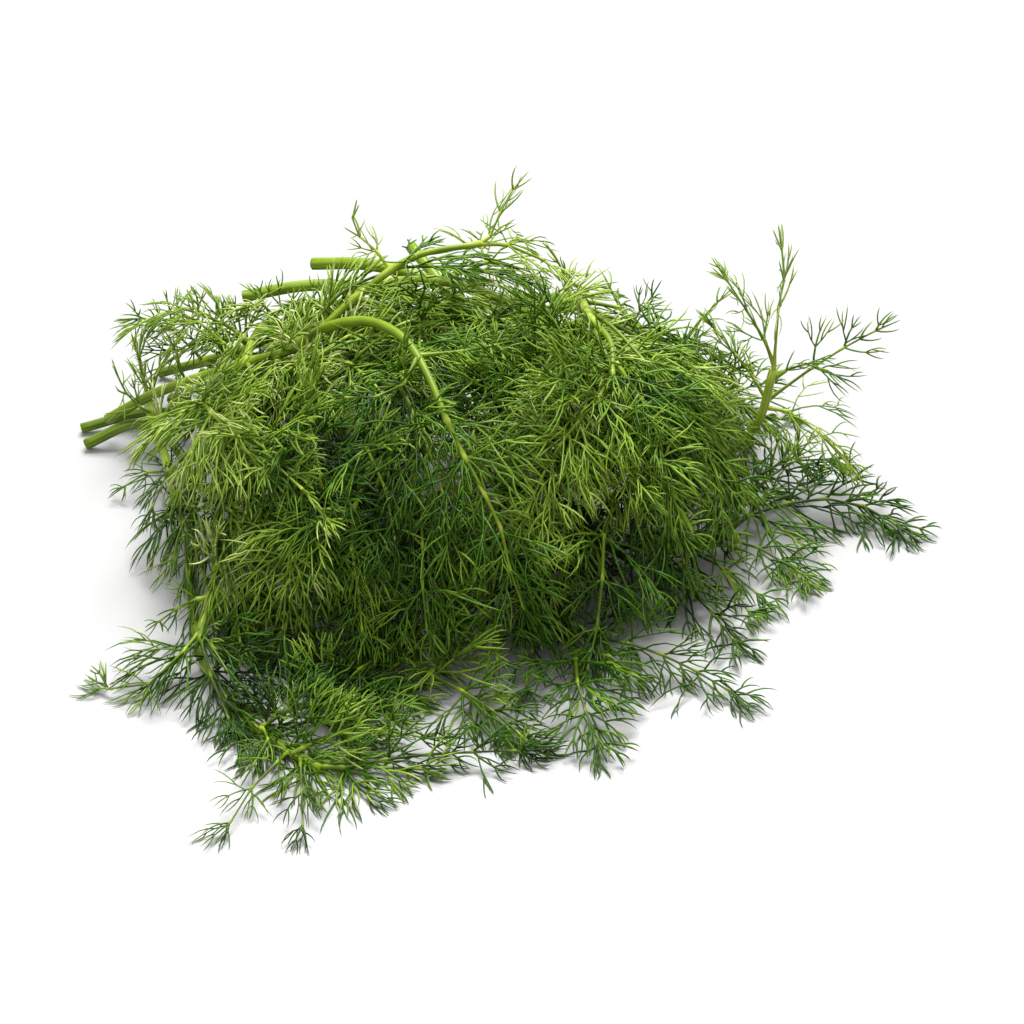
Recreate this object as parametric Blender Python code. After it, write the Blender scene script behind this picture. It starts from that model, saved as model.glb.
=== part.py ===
"""A loose bunch of cut dill lying in a heap: leafy stems with feathery leaves.

Lengths in the tables are millimetres, and the meshes are metres. +Z is up, +X runs along
the heap to its leafy right end, and the origin is where the lowest stem rests on the table.
"""

import collections
import math

import bmesh
import bpy
import numpy as np

MM = 0.001

# The heap is a flattened dome of leaves, a little longer than it is wide.
HEAP_CENTRE = (-22.0, 32.0)
HEAP_HALF_LENGTH = 112.0
HEAP_HALF_WIDTH = 94.0
HEAP_HEIGHT = 78.0
HEAP_SHOULDER = 2.6
HEAP_BROW = 0.62

# Stems are six-sided and taper. One that lies on the table has a flat underside there.
STEM_SIDES = 6
STEM_POINT_EVERY = 21.0
LYING_HEIGHT = 0.8
STEEP = 0.93

# A draped leaf leaves its stem on the stem's heading and swings to its own within a short way,
# while it climbs to the heap's surface. Every leaf's line is read in small steps.
ROUTE_STEP = 2.0
STEPS_BETWEEN_PLACES = 8
ROUTE_POINTS = 33
SWING_OVER = 12.0
CLIMB_OVER = 42.0
CLEAR_OF_SURFACE = 2.0
SMOOTHED_STEPS = 13

# A draped leaf is placed at random round its plan, by these spreads: the share of the stem, the
# heading in degrees, the share of the heap's height and the bend in radians. The first three
# grow with every try that finds no room.
SHARE_PER_TRY = 0.008
LOWEST_SHARE = 0.1
HIGHEST_SHARE = 0.98
HEADING_SPREAD = 3.0
HEADING_PER_TRY = 0.7
LAYER_SPREAD = 0.03
LAYER_PER_TRY = 0.008
BEND_SPREAD = 0.35

# A leaf has a three-sided stalk with its edges at these angles, bare at first, then with pairs of
# side branches up to its tip.
STALK_EDGES = (330, 90, 210)
STALK_POINT_EVERY = 20.0
STALK_TIP_RADIUS = 0.45
STALK_TAPER = 1.3
PAIR_EVERY = 12.8
FEWEST_PAIRS = 3
MOST_PAIRS = 6
LAST_PAIR = 0.82
NODE_HALF_LENGTH = 0.55

# Side branches are needles that get shorter towards the tip, and those of the first pairs have a
# thread beside them. The angles are those of a leaf of the full spread, and a slim leaf's branches
# lie closer to its stalk. Where a leaf heads down, its branches hang by up to the last share.
BRANCH_SHARE = 0.56
FULL_SPREAD = 38.0
BRANCH_SHRINK = 0.5
BRANCH_LENGTHS = (0.82, 1.12)
BRANCH_TILTS = (-0.3, 0.35)
BRANCH_ANGLE_FIRST = math.radians(54)
BRANCH_ANGLE_LAST = math.radians(25)
BRANCH_RADIUS = 0.6
THREAD_LENGTH = 13.0
THREAD_SHARE = 0.6
THREAD_TURN = math.radians(27)
THREAD_TILT = 0.2
PAIRS_WITHOUT_THREADS = 4
LOWEST_TIP = 0.3
HANG = 0.45

# A leaf's blade faces outward from the dome, and a little towards the front of the heap.
DOME_FALL = 1.6
LOWEST_DOME = 15.0
FRONTWARD = np.array([0.0, -0.35, 0.0])

# Every piece keeps this far clear of the other leafy stems, by trying again a little turned.
GAP = 0.4
LEAF_TRIES = 80
BRANCH_TRIES = 12
TURN_PER_TRY = 0.05
TURN_LIMITS = (0.35, 1.35)
TILT_PER_TRY = 0.1
TILT_LIMITS = (-0.5, 1.1)
SHORTER_PER_TRY = 0.03
FUSED_SHARE = 0.25
NO_NEIGHBOUR = 1e9

# Fresh leaves are satin, in greens from a little darker to a little lighter than this.
DILL_GREEN = (0.09, 0.22, 0.025)
DARKEST = 0.8
LIGHTEST = 1.2
SATIN = 0.5

LeafyStem = collections.namedtuple("LeafyStem", "name foot_radius tip_radius route leaves")
Shaped = collections.namedtuple("Shaped", "route bare radius spread", defaults=(0.3, 1.0, FULL_SPREAD))
Draped = collections.namedtuple(
    "Draped", "share heading length layer spread bare radius", defaults=(32.0, 0.36, 1.1)
)
Stalk = collections.namedtuple("Stalk", "centres radii side up pairs spread")
Branch = collections.namedtuple("Branch", "pair hand thread foot tip")

# Each stem's route runs from its cut end. A Shaped leaf has a route of its own; a Draped leaf
# leaves its stem at a share of the stem's length, heads that way in plan, in degrees from +X,
# and hangs over the heap at that share of the heap's height. The bare share of a leaf has no
# side branches, its radius is at the stalk's foot, and its spread is its longest side branch.
LEAFY_STEMS = [
    LeafyStem(
        "leafy_stem_01", 2.0, 1.0,
        [(-148, 72, 9), (-141, 73, 15), (-127, 65, 26), (-104, 54, 43), (-84, 46, 55), (-73, 42, 62),
         (-59, 50, 71), (-41, 59, 82), (-28, 62, 88), (-10, 67, 88)],
        [
            Shaped([(-73, 42, 62), (-66, 39, 70), (-58, 35, 76), (-49, 30, 80), (-41, 23, 83), (-30, 7, 82),
                    (-20, -18, 73), (-11, -33, 62), (-3, -42, 50), (0, -49, 38), (5, -54, 24), (11, -57, 12)],
                   0.53, 2.2),
            Shaped([(-30, 7, 82), (-21, 8, 82), (-11, 11, 82), (-1, 16, 81), (10, 23, 80)], 0.35, 0.9),
            Shaped([(-30, 7, 82), (-32, -1, 80), (-38, -8, 78), (-47, -10, 77),
                    (-58, -8, 76)], 0.35, 0.9),
            Shaped([(-73, 42, 62), (-66, 50, 69), (-58, 56, 75), (-40, 65, 79), (-16, 68, 77),
                    (10, 64, 73)], 0.5, 1.0, 26),
            Shaped([(-41, 59, 82), (-46, 62, 88), (-51, 64, 92), (-54, 65, 97),
                    (-53, 66, 103)], 0.3, 0.9, 19),
            Shaped([(-10, 67, 88), (-6, 69, 91), (-3, 73, 97), (0, 78, 101),
                    (4, 81, 105)], 0.15, 0.8, 17),
            Shaped([(-10, 67, 88), (0, 69, 86), (10, 71, 80), (20, 72, 72), (27, 73, 62)], 0.2, 1.0, 23),
            Draped(0.55, -60, 90, 0.88),
            Draped(0.72, -100, 90, 0.85),
            Draped(0.45, 200, 45, 0.95, 23),
        ],
    ),
    LeafyStem(
        "leafy_stem_02", 2.0, 1.2,
        [(-156, 66, 2), (-149, 67, 7), (-138, 68, 10), (-126, 63, 9), (-116, 45, 5), (-112, 15, 1),
         (-108, -25, 1), (-98, -62, 1), (-80, -87, 1), (-69, -99, 1), (-59, -105, 1)],
        [
            Shaped([(-59, -105, 2), (-49, -106, 3), (-36, -103, 4), (-21, -101, 4), (-4, -101, 5),
                    (14, -98, 3)], 0.1, 1.0, 23),
            Shaped([(-66, -101, 2), (-65, -110, 6), (-64, -121, 5), (-63, -130, 3),
                    (-65, -137, 2)], 0.2, 0.9, 16),
            Shaped([(-70, -98, 2), (-74, -108, 5), (-80, -118, 5), (-84, -128, 3),
                    (-90, -135, 2)], 0.2, 0.9, 16),
            Shaped([(-116, 42, 5), (-121, 40, 9), (-128, 39, 10), (-135, 37, 7),
                    (-141, 34, 4)], 0.2, 0.9, 19),
            Draped(0.62, -5, 95, 0.35, 29, 0.15),
            Draped(0.80, 25, 100, 0.45),
            Draped(0.72, -58, 55, 0.45, 19, 0.15),
            Draped(0.93, -10, 55, 0.3, 29, 0.15),
            Draped(0.86, 65, 60, 0.35, 29, 0.15),
            Draped(0.90, 40, 60, 0.4, 26, 0.15),
            Shaped([(-69, -99, 2), (-58, -96, 6), (-46, -93, 7), (-33, -94, 6),
                    (-20, -96, 4)], 0.1, 1.0, 22),
            Shaped([(-80, -87, 2), (-76, -94, 6), (-78, -102, 6), (-82, -110, 3)], 0.1, 0.9, 15),
            Shaped([(-80, -87, 2), (-72, -86, 7), (-66, -82, 12), (-60, -77, 15)], 0.1, 0.9, 20),
        ],
    ),
    LeafyStem(
        "leafy_stem_03", 1.8, 1.1,
        [(-159, 76, 2), (-148, 77, 4), (-132, 80, 7), (-117, 74, 10), (-106, 50, 13), (-101, 14, 15),
         (-99, -25, 15), (-102, -50, 11)],
        [
            Shaped([(-102, -50, 11), (-108, -60, 9), (-117, -69, 5), (-127, -71, 3),
                    (-136, -64, 2)], 0.2, 0.9, 20),
            Shaped([(-100, -36, 14), (-106, -38, 14), (-112, -40, 11), (-119, -43, 7)], 0.2, 0.9, 14),
            Shaped([(-102, 24, 15), (-109, 22, 14), (-116, 18, 11), (-122, 13, 8)], 0.2, 0.9, 19),
            Shaped([(-99, -22, 15), (-98, -27, 21), (-94, -33, 22), (-91, -39, 16), (-90, -46, 8),
                    (-87, -56, 3)], 0.2, 0.9),
            Draped(0.75, -62, 75, 0.8, 27, 0.12),
            Shaped([(-102, -50, 11), (-100, -61, 13), (-96, -72, 9), (-91, -83, 5),
                    (-86, -92, 3)], 0.12, 1.0, 23),
            Draped(0.85, -50, 68, 0.6, 28, 0.12),
            Draped(0.60, -55, 85, 0.8, 28, 0.15),
            Draped(0.88, -30, 70, 0.5, 26),
            Shaped([(-117, 74, 10), (-119, 77, 22), (-121, 80, 31), (-124, 82, 38)], 0.15, 0.9, 20),
        ],
    ),
    LeafyStem(
        "leafy_stem_04", 2.2, 1.3,
        [(-99, 107, 40), (-72, 107, 45), (-37, 100, 45), (5, 83, 37), (42, 56, 24), (70, 38, 16),
         (81, 35, 20), (91, 47, 34), (93, 48, 48)],
        [
            Shaped([(93, 48, 48), (92, 47, 60), (93, 47, 76), (94, 47, 88),
                    (92, 51, 101)], 0.5, 1.0, 20),
            Shaped([(91, 47, 35), (97, 50, 40), (108, 54, 45), (117, 57, 50), (127, 61, 54),
                    (135, 63, 57)], 0.4, 1.0, 22),
            Shaped([(91, 46, 33), (98, 44, 33), (107, 40, 29), (116, 35, 22),
                    (123, 30, 15)], 0.2, 1.0, 20),
            Shaped([(93, 48, 50), (88, 50, 62), (82, 54, 70), (77, 57, 77),
                    (73, 60, 82)], 0.25, 1.0, 19),
            Draped(0.62, 50, 85, 0.85),
            Draped(0.80, -60, 74, 0.8, 27),
            Shaped([(91, 47, 36), (85, 52, 44), (77, 58, 52), (70, 64, 58)], 0.25, 0.9, 20),
            Shaped([(93, 47, 44), (100, 46, 51), (107, 43, 53), (114, 40, 51)], 0.25, 0.9, 16),
            Draped(0.22, -80, 90, 0.9),
            Draped(0.40, -60, 100, 0.75),
        ],
    ),
    LeafyStem(
        "leafy_stem_05", 2.3, 1.5,
        [(-73, 114, 50), (-50, 105, 55), (-28, 96, 53), (-4, 78, 42), (18, 52, 20), (34, 26, 8),
         (50, 9, 2), (64, 9, 1), (76, 13, 1)],
        [
            Shaped([(76, 13, 2), (84, 18, 6), (97, 21, 9), (112, 24, 9), (126, 22, 7), (136, 16, 4),
                    (145, 7, 2)], 0.15, 1.0, 29),
            Shaped([(76, 13, 2), (86, 26, 9), (98, 38, 13), (110, 44, 12), (122, 45, 8)], 0.25, 1.0, 27),
            Shaped([(64, 9, 2), (75, 4, 8), (87, -3, 8), (98, -10, 5), (106, -16, 2)], 0.2, 1.0, 26),
            Draped(0.55, -40, 110, 0.9),
            Draped(0.75, 20, 95, 0.7),
            Draped(0.35, -95, 105, 0.8),
            Draped(0.45, -100, 90, 0.8),
            Draped(0.85, -50, 70, 0.6),
            Draped(0.62, -98, 85, 0.85, 29),
        ],
    ),
    LeafyStem(
        "leafy_stem_06", 2.2, 1.2,
        [(-37, 126, 50), (-32, 117, 51), (-24, 106, 43), (-8, 74, 26), (8, 42, 14), (22, 18, 8),
         (34, 2, 4), (45, -7, 3)],
        [
            Shaped([(45, -7, 3), (56, -16, 6), (65, -27, 5), (73, -41, 3), (79, -53, 2)], 0.15, 1.0, 29),
            Shaped([(34, 2, 4), (50, -2, 9), (66, -8, 9), (80, -18, 6), (90, -30, 2)], 0.25, 1.0, 28),
            Draped(0.45, -30, 115, 1.0),
            Draped(0.60, -75, 110, 0.95),
            Draped(0.80, -100, 95, 0.6),
            Draped(0.30, -100, 110, 0.9),
            Draped(0.70, -45, 90, 0.75),
            Draped(0.25, 160, 70, 0.7),
            Draped(0.90, -95, 70, 0.4, 26),
        ],
    ),
    LeafyStem(
        "leafy_stem_07", 2.1, 1.2,
        [(-128, 96, 1), (-96, 72, 1), (-60, 45, 1), (-28, 22, 1), (0, 0, 1), (15, -23, 1), (22, -50, 1)],
        [
            Shaped([(20, -40, 2), (31, -48, 6), (43, -54, 8), (56, -60, 6), (68, -68, 4),
                    (80, -78, 2)], 0.15, 1.0, 24),
            Shaped([(22, -50, 2), (22, -62, 6), (23, -76, 6), (27, -90, 4),
                    (31, -103, 2)], 0.15, 1.0, 28),
            Shaped([(10, -15, 2), (2, -30, 9), (-2, -46, 13), (-4, -60, 13), (-3, -73, 10)], 0.3),
            Draped(0.45, -110, 110, 0.55),
            Draped(0.62, -60, 110, 0.5),
            Draped(0.80, -100, 75, 0.35),
            Draped(0.15, 40, 75, 0.35, 26),
            Draped(0.70, -75, 70, 0.4, 26),
            Shaped([(22, -50, 2), (30, -56, 7), (38, -63, 7), (46, -70, 4)], 0.1, 0.9, 26),
        ],
    ),
    LeafyStem(
        "leafy_stem_08", 2.0, 1.2,
        [(-118, 112, 2), (-86, 92, 4), (-62, 66, 8), (-46, 34, 8), (-38, 0, 6), (-34, -32, 4),
         (-30, -60, 3)],
        [
            Shaped([(-30, -60, 3), (-20, -70, 6), (-8, -80, 6), (2, -90, 4),
                    (9, -99, 2)], 0.15, 1.0, 28),
            Shaped([(-32, -46, 3), (-44, -60, 8), (-54, -73, 8), (-60, -85, 7)], 0.25),
            Draped(0.50, -142, 90, 0.6, 29),
            Draped(0.66, -60, 110, 0.7),
            Draped(0.82, -130, 105, 0.6),
            Draped(0.95, -110, 75, 0.4),
            Draped(0.18, 30, 75, 0.5),
            Draped(0.30, -10, 80, 0.75),
            Draped(0.90, -35, 65, 0.4, 26),
        ],
    ),
    LeafyStem(
        "leafy_stem_09", 2.0, 1.3,
        [(-64, 128, 22), (-58, 104, 38), (-52, 78, 50), (-47, 46, 54), (-45, 16, 54), (-46, -8, 48)],
        [
            Shaped([(-46, -8, 48), (-48, -20, 52), (-50, -31, 50), (-52, -40, 44), (-50, -45, 37),
                    (-49, -51, 28), (-48, -56, 19), (-47, -61, 9)], 0.35, 1.3),
            Shaped([(-45, 4, 52), (-48, -10, 62), (-46, -22, 65), (-42, -30, 62), (-39, -36, 55),
                    (-37, -43, 46), (-36, -48, 38)], 0.42),
            Shaped([(-45, 10, 54), (-36, -8, 58), (-30, -26, 56), (-28, -41, 47), (-28, -51, 35),
                    (-27, -58, 22), (-24, -64, 9)], 0.35),
            Draped(0.70, -60, 110, 1.0),
            Draped(0.50, -165, 80, 0.95, 29),
            Draped(0.30, -110, 100, 0.8),
        ],
    ),
    LeafyStem(
        "leafy_stem_10", 1.9, 1.1,
        [(-90, 126, 14), (-91, 104, 30), (-94, 82, 36), (-97, 58, 34), (-97, 34, 38)],
        [
            Shaped([(-97, 34, 38), (-102, 26, 50), (-104, 16, 56), (-99, 6, 58), (-91, -6, 58),
                    (-82, -18, 55), (-73, -28, 51)], 0.3),
            Shaped([(-94, 82, 36), (-105, 84, 44), (-117, 85, 49), (-128, 85, 46),
                    (-139, 83, 41)], 0.25, 1.0, 22),
            Shaped([(-96, 66, 35), (-104, 67, 49), (-112, 71, 53), (-118, 75, 51),
                    (-124, 79, 46)], 0.3, 1.0, 22),
            Draped(0.80, 172, 45, 0.9, 26),
            Draped(0.97, 10, 85, 0.9),
            Draped(0.60, -40, 95, 0.82),
            Draped(0.90, -120, 60, 0.9, 28),
        ],
    ),
    LeafyStem(
        "leafy_stem_11", 2.0, 1.3,
        [(-12, 132, 20), (4, 112, 36), (18, 88, 52), (26, 64, 66), (28, 44, 72)],
        [
            Shaped([(28, 44, 72), (33, 33, 73), (36, 19, 71), (29, 0, 69), (19, -14, 65), (12, -26, 60),
                    (6, -37, 51), (2, -46, 40)], 0.3, 1.3),
            Shaped([(36, 19, 71), (42, 11, 67), (48, 2, 59), (52, -9, 50), (53, -19, 40),
                    (53, -29, 28)], 0.25, 0.9),
            Shaped([(27, 56, 68), (37, 38, 71), (46, 24, 68), (55, 17, 61), (63, 14, 51), (69, 6, 41),
                    (72, -5, 30), (73, -15, 18)], 0.35),
            Draped(0.90, 32, 85, 0.92, 29),
            Shaped([(22, 76, 59), (20, 76, 68), (17, 75, 76), (14, 73, 82)], 0.15, 0.9, 20),
            Draped(0.70, 70, 60, 0.88, 29),
            Draped(0.60, 5, 95, 0.92, 29),
            Draped(0.98, -75, 105, 0.97),
            Draped(0.80, -110, 100, 0.95),
        ],
    ),
    LeafyStem(
        "leafy_stem_12", 1.9, 1.1,
        [(-2, 138, 2), (22, 126, 10), (44, 108, 20), (62, 86, 26), (74, 66, 26)],
        [
            Shaped([(62, 86, 26), (65, 88, 34), (70, 90, 41), (75, 92, 46),
                    (79, 93, 50)], 0.25, 0.9, 17),
            Shaped([(46, 106, 21), (46, 103, 31), (49, 100, 39), (52, 98, 45),
                    (54, 97, 50)], 0.25, 0.9, 17),
            Draped(0.85, 30, 55, 0.85, 26),
            Draped(0.45, 60, 50, 0.75, 26),
            Draped(0.92, -60, 66, 0.85, 28),
            Shaped([(74, 66, 26), (76, 62, 38), (76, 58, 46), (73, 54, 50)], 0.15, 0.9, 20),
            Shaped([(74, 66, 26), (80, 64, 36), (84, 60, 42), (87, 54, 44)], 0.15, 0.9, 23),
            Shaped([(74, 66, 26), (84, 64, 24), (94, 58, 17), (103, 50, 9),
                    (110, 43, 4)], 0.15, 0.9, 26),
            Shaped([(62, 86, 26), (70, 84, 31), (77, 79, 31), (83, 72, 27)], 0.15, 0.9, 26),
        ],
    ),
    LeafyStem(
        "leafy_stem_13", 1.9, 1.1,
        [(-64, 140, 2), (-50, 131, 10), (-34, 122, 20), (-20, 116, 28), (-7, 114, 32)],
        [
            Draped(0.98, 10, 80, 0.88, 26),
            Draped(0.80, 60, 50, 0.85, 29),
            Draped(0.60, 110, 45, 0.85, 26),
            Draped(0.90, -25, 90, 0.92, 29),
            Draped(0.40, 195, 70, 0.65),
            Draped(0.70, -70, 80, 0.7),
        ],
    ),
    LeafyStem(
        "leafy_stem_14", 1.9, 1.1,
        [(-134, 112, 2), (-116, 108, 10), (-98, 103, 20), (-82, 101, 28), (-68, 101, 33)],
        [
            Draped(0.98, 50, 55, 0.9, 29),
            Draped(0.75, 110, 40, 0.9, 23),
            Shaped([(-116, 108, 10), (-122, 104, 22), (-127, 99, 32), (-133, 95, 38),
                    (-141, 92, 40)], 0.2, 0.9, 23),
            Shaped([(-107, 105, 15), (-112, 101, 29), (-118, 97, 38), (-124, 93, 42),
                    (-130, 89, 41)], 0.2, 0.9, 26),
            Shaped([(-98, 103, 20), (-98, 98, 34), (-95, 92, 44), (-90, 86, 50)], 0.25, 0.9, 26),
            Draped(0.55, 155, 45, 0.9, 26),
            Draped(0.98, -80, 95, 0.9),
            Draped(0.40, -60, 80, 0.7),
            Draped(0.32, -85, 60, 1.1, 28),
            Shaped([(-82, 101, 28), (-89, 98, 41), (-96, 92, 46), (-104, 85, 46)], 0.15, 0.9, 25),
            Shaped([(-68, 101, 33), (-75, 96, 42), (-82, 90, 46), (-90, 84, 46)], 0.15, 0.9, 24),
            Shaped([(-98, 103, 20), (-104, 98, 31), (-110, 90, 35), (-116, 80, 35)], 0.15, 0.9, 24),
        ],
    ),
    LeafyStem(
        "leafy_stem_15", 2.0, 1.2,
        [(-84, 120, 8), (-62, 96, 16), (-34, 66, 22), (-8, 40, 26), (12, 16, 24), (26, -6, 18)],
        [
            Draped(0.98, -70, 90, 0.9),
            Draped(0.85, -25, 100, 0.9),
            Draped(0.70, -105, 105, 0.85),
            Draped(0.60, -45, 110, 0.95),
            Draped(0.98, -40, 62, 0.8, 22),
            Draped(0.40, -80, 105, 0.8),
            Draped(0.20, 10, 75, 0.6),
            Draped(0.62, -88, 95, 0.88),
            Draped(0.42, 10, 70, 0.55),
        ],
    ),
    LeafyStem(
        "leafy_stem_16", 2.0, 1.2,
        [(-104, 98, 12), (-88, 70, 26), (-77, 42, 36), (-71, 14, 40), (-68, -10, 38)],
        [
            Shaped([(-68, -10, 38), (-67, -24, 43), (-69, -35, 42), (-72, -41, 35), (-73, -47, 26),
                    (-74, -52, 15), (-76, -58, 7)], 0.3),
            Shaped([(-71, 14, 40), (-79, 6, 50), (-82, -9, 56), (-75, -22, 57), (-66, -31, 54),
                    (-59, -38, 48), (-54, -44, 40)], 0.35),
            Draped(0.65, -70, 105, 0.9),
            Draped(0.50, 175, 55, 0.8, 29),
            Draped(0.70, -150, 60, 0.85, 28),
            Draped(0.35, -15, 90, 0.87),
            Draped(0.98, -95, 75, 0.8),
            Draped(0.85, -112, 70, 0.75, 26),
        ],
    ),
    LeafyStem(
        "leafy_stem_17", 1.9, 1.1,
        [(-136, 92, 6), (-133, 76, 13), (-127, 54, 17), (-120, 28, 19), (-114, 6, 14)],
        [
            Shaped([(-130, 66, 15), (-135, 62, 23), (-139, 60, 32), (-141, 60, 41)], 0.3, 0.9, 20),
            Shaped([(-134, 84, 9), (-137, 88, 20), (-136, 90, 29), (-131, 92, 36)], 0.2, 0.9, 22),
            Draped(0.98, -78, 60, 0.9, 17, 0.12),
            Draped(0.70, -95, 36, 0.9, 17, 0.12),
            Draped(0.80, -55, 80, 0.8, 26),
            Draped(0.90, -60, 70, 0.6, 25, 0.12),
            Shaped([(-133, 76, 13), (-130, 80, 22), (-126, 83, 30), (-120, 86, 36)], 0.15, 0.9, 22),
            Shaped([(-127, 54, 17), (-122, 52, 29), (-116, 50, 36), (-108, 47, 41)], 0.15, 0.9, 26),
        ],
    ),
    LeafyStem(
        "leafy_stem_18", 2.0, 1.2,
        [(-82, 92, 26), (-64, 87, 48), (-44, 82, 62), (-20, 76, 66), (4, 66, 62), (18, 54, 56)],
        [
            Draped(0.98, -45, 100, 1.0),
            Draped(0.85, 20, 85, 0.95, 26),
            Draped(0.70, -80, 110, 1.0),
            Draped(0.60, 70, 65, 0.92, 26),
            Draped(0.15, -95, 95, 0.8),
            Draped(0.45, -112, 100, 0.9),
        ],
    ),
]


def heap_height(x, y):
    """The height of the heap's surface over a place on the table, in millimetres."""
    off_centre = np.hypot((x - HEAP_CENTRE[0]) / HEAP_HALF_LENGTH, (y - HEAP_CENTRE[1]) / HEAP_HALF_WIDTH)
    return HEAP_HEIGHT * np.clip(1 - off_centre**HEAP_SHOULDER, 0, 1) ** HEAP_BROW


def unit(vectors):
    return vectors / np.maximum(np.linalg.norm(vectors, axis=-1, keepdims=True), 1e-9)


def evenly(points, count):
    """The polyline through these points, read again at equal distances along it."""
    steps = np.linalg.norm(np.diff(points, axis=0), axis=1)
    along = np.concatenate([[0], np.cumsum(steps)])
    wanted = np.linspace(0, along[-1], count)
    return np.stack([np.interp(wanted, along, points[:, axis]) for axis in range(3)], axis=1)


def length_of(points):
    return float(np.linalg.norm(np.diff(points, axis=0), axis=1).sum())


def smooth_route(places, count):
    """A Catmull-Rom curve through the places, read at equal distances."""
    places = np.array(places, float)
    padded = np.concatenate([[2 * places[0] - places[1]], places, [2 * places[-1] - places[-2]]])
    t = np.arange(STEPS_BETWEEN_PLACES)[:, None] / STEPS_BETWEEN_PLACES
    pieces = []
    for before, start, end, after in zip(padded, padded[1:], padded[2:], padded[3:]):
        pieces.append(
            0.5 * (2 * start + (end - before) * t + (2 * before - 5 * start + 4 * end - after) * t**2
                   + (3 * start - before - 3 * end + after) * t**3)
        )
    return evenly(np.concatenate(pieces + [places[-1:]]), count)


def draped_route(start, stem_heading, heading, length, layer, curl):
    """A leaf's midline: it swings from its stem's heading to its own, climbs to its layer of the
    heap and then follows the heap down to the table."""
    run = np.arange(0, length, ROUTE_STEP)
    swing = (stem_heading - heading + math.pi) % math.tau - math.pi
    angle = heading + swing * np.exp(-run / SWING_OVER) + curl * run / length
    x = start[0] + np.concatenate([[0], np.cumsum(ROUTE_STEP * np.cos(angle))[:-1]])
    y = start[1] + np.concatenate([[0], np.cumsum(ROUTE_STEP * np.sin(angle))[:-1]])
    share = np.clip(run / CLIMB_OVER, 0, 1)
    ease = share * share * (3 - 2 * share)
    surface = np.pad(layer * heap_height(x, y) + CLEAR_OF_SURFACE, SMOOTHED_STEPS // 2, mode="edge")
    surface = np.convolve(surface, np.full(SMOOTHED_STEPS, 1 / SMOOTHED_STEPS), mode="valid")
    points = np.stack([x, y, start[2] + (surface - start[2]) * ease], axis=1)
    steps = np.linalg.norm(np.diff(points, axis=0), axis=1)
    kept = 1 + np.searchsorted(np.cumsum(steps), length)
    return evenly(points[:kept], ROUTE_POINTS)


def segment_gaps(start_a, end_a, start_b, end_b):
    """The distances from each segment a to each segment b, by the closest points on both."""
    a, b = end_a[:, None] - start_a[:, None], end_b[None] - start_b[None]
    apart = start_a[:, None] - start_b[None]
    aa, bb, ab = (a * a).sum(-1), (b * b).sum(-1), (a * b).sum(-1)
    a_apart, b_apart = (a * apart).sum(-1), (b * apart).sum(-1)
    across = aa * bb - ab * ab
    s = np.clip(np.where(across > 1e-9, (ab * b_apart - bb * a_apart) / np.maximum(across, 1e-9), 0), 0, 1)
    t = np.clip((ab * s + b_apart) / np.maximum(bb, 1e-9), 0, 1)
    s = np.clip((ab * t - a_apart) / np.maximum(aa, 1e-9), 0, 1)
    return np.linalg.norm(apart + a * s[..., None] - b * t[..., None], axis=-1)


class Bones:
    """The midlines placed so far, as segments with a radius, the number of the leafy stem that
    each belongs to, and the number of the leaf whose side branch it is, or -1."""

    def __init__(self):
        self.start = np.zeros((0, 3))
        self.end = np.zeros((0, 3))
        self.radius = np.zeros(0)
        self.owner = np.zeros(0, int)
        self.leaf = np.zeros(0, int)

    def room(self, points, radii, chosen):
        if not chosen.any():
            return NO_NEIGHBOUR
        reach = np.maximum(radii[:-1], radii[1:])
        distance = segment_gaps(points[:-1], points[1:], self.start[chosen], self.end[chosen])
        return float((distance - reach[:, None] - self.radius[chosen][None]).min()) - GAP

    def clearance(self, points, radii, owner):
        """How far this midline stays clear of every other leafy stem, less the gap to keep."""
        return self.room(points, radii, self.owner != owner)

    def own_clearance(self, points, radii, leaf):
        """The same against the side branches of its own leaf."""
        return self.room(points, radii, self.leaf == leaf)

    def add(self, points, radii, owner, leaf=-1):
        count = len(points) - 1
        self.start = np.concatenate([self.start, points[:-1]])
        self.end = np.concatenate([self.end, points[1:]])
        self.radius = np.concatenate([self.radius, np.maximum(radii[:-1], radii[1:])])
        self.owner = np.concatenate([self.owner, np.full(count, owner)])
        self.leaf = np.concatenate([self.leaf, np.full(count, leaf)])


def above_table(points, radii):
    """The midline lifted where it would sink into the table."""
    lifted = points.copy()
    lifted[:, 2] = np.maximum(lifted[:, 2], LYING_HEIGHT * radii)
    return lifted


def stem_line(plan):
    count = max(5, round(length_of(np.array(plan.route, float)) / STEM_POINT_EVERY))
    radii = np.linspace(plan.foot_radius, plan.tip_radius, count)
    return above_table(smooth_route(plan.route, count), radii), radii


def leaf_up(points, tangents):
    """At each point of a leaf, the way its flat blade faces: outward from the heap's surface, and
    straight up where the leaf lies on the table beside the heap."""
    height = np.clip(points[:, 2] / HEAP_HEIGHT, 0, 1)
    outward = np.stack(
        [
            DOME_FALL * height * (points[:, 0] - HEAP_CENTRE[0]) / HEAP_HALF_LENGTH**2,
            DOME_FALL * height * (points[:, 1] - HEAP_CENTRE[1]) / HEAP_HALF_WIDTH**2,
            np.maximum(points[:, 2], LOWEST_DOME) / HEAP_HEIGHT**2,
        ],
        axis=1,
    )
    outward = unit(unit(outward) + FRONTWARD)
    return unit(outward - (outward * tangents).sum(1, keepdims=True) * tangents)


def read_at(values, share):
    """The rows of an evenly spaced array at these shares of its length, blended."""
    place = np.clip(share, 0, 1) * (len(values) - 1)
    below = np.minimum(place.astype(int), len(values) - 2)
    blend = (place - below)[:, None]
    return values[below] * (1 - blend) + values[below + 1] * blend


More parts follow.
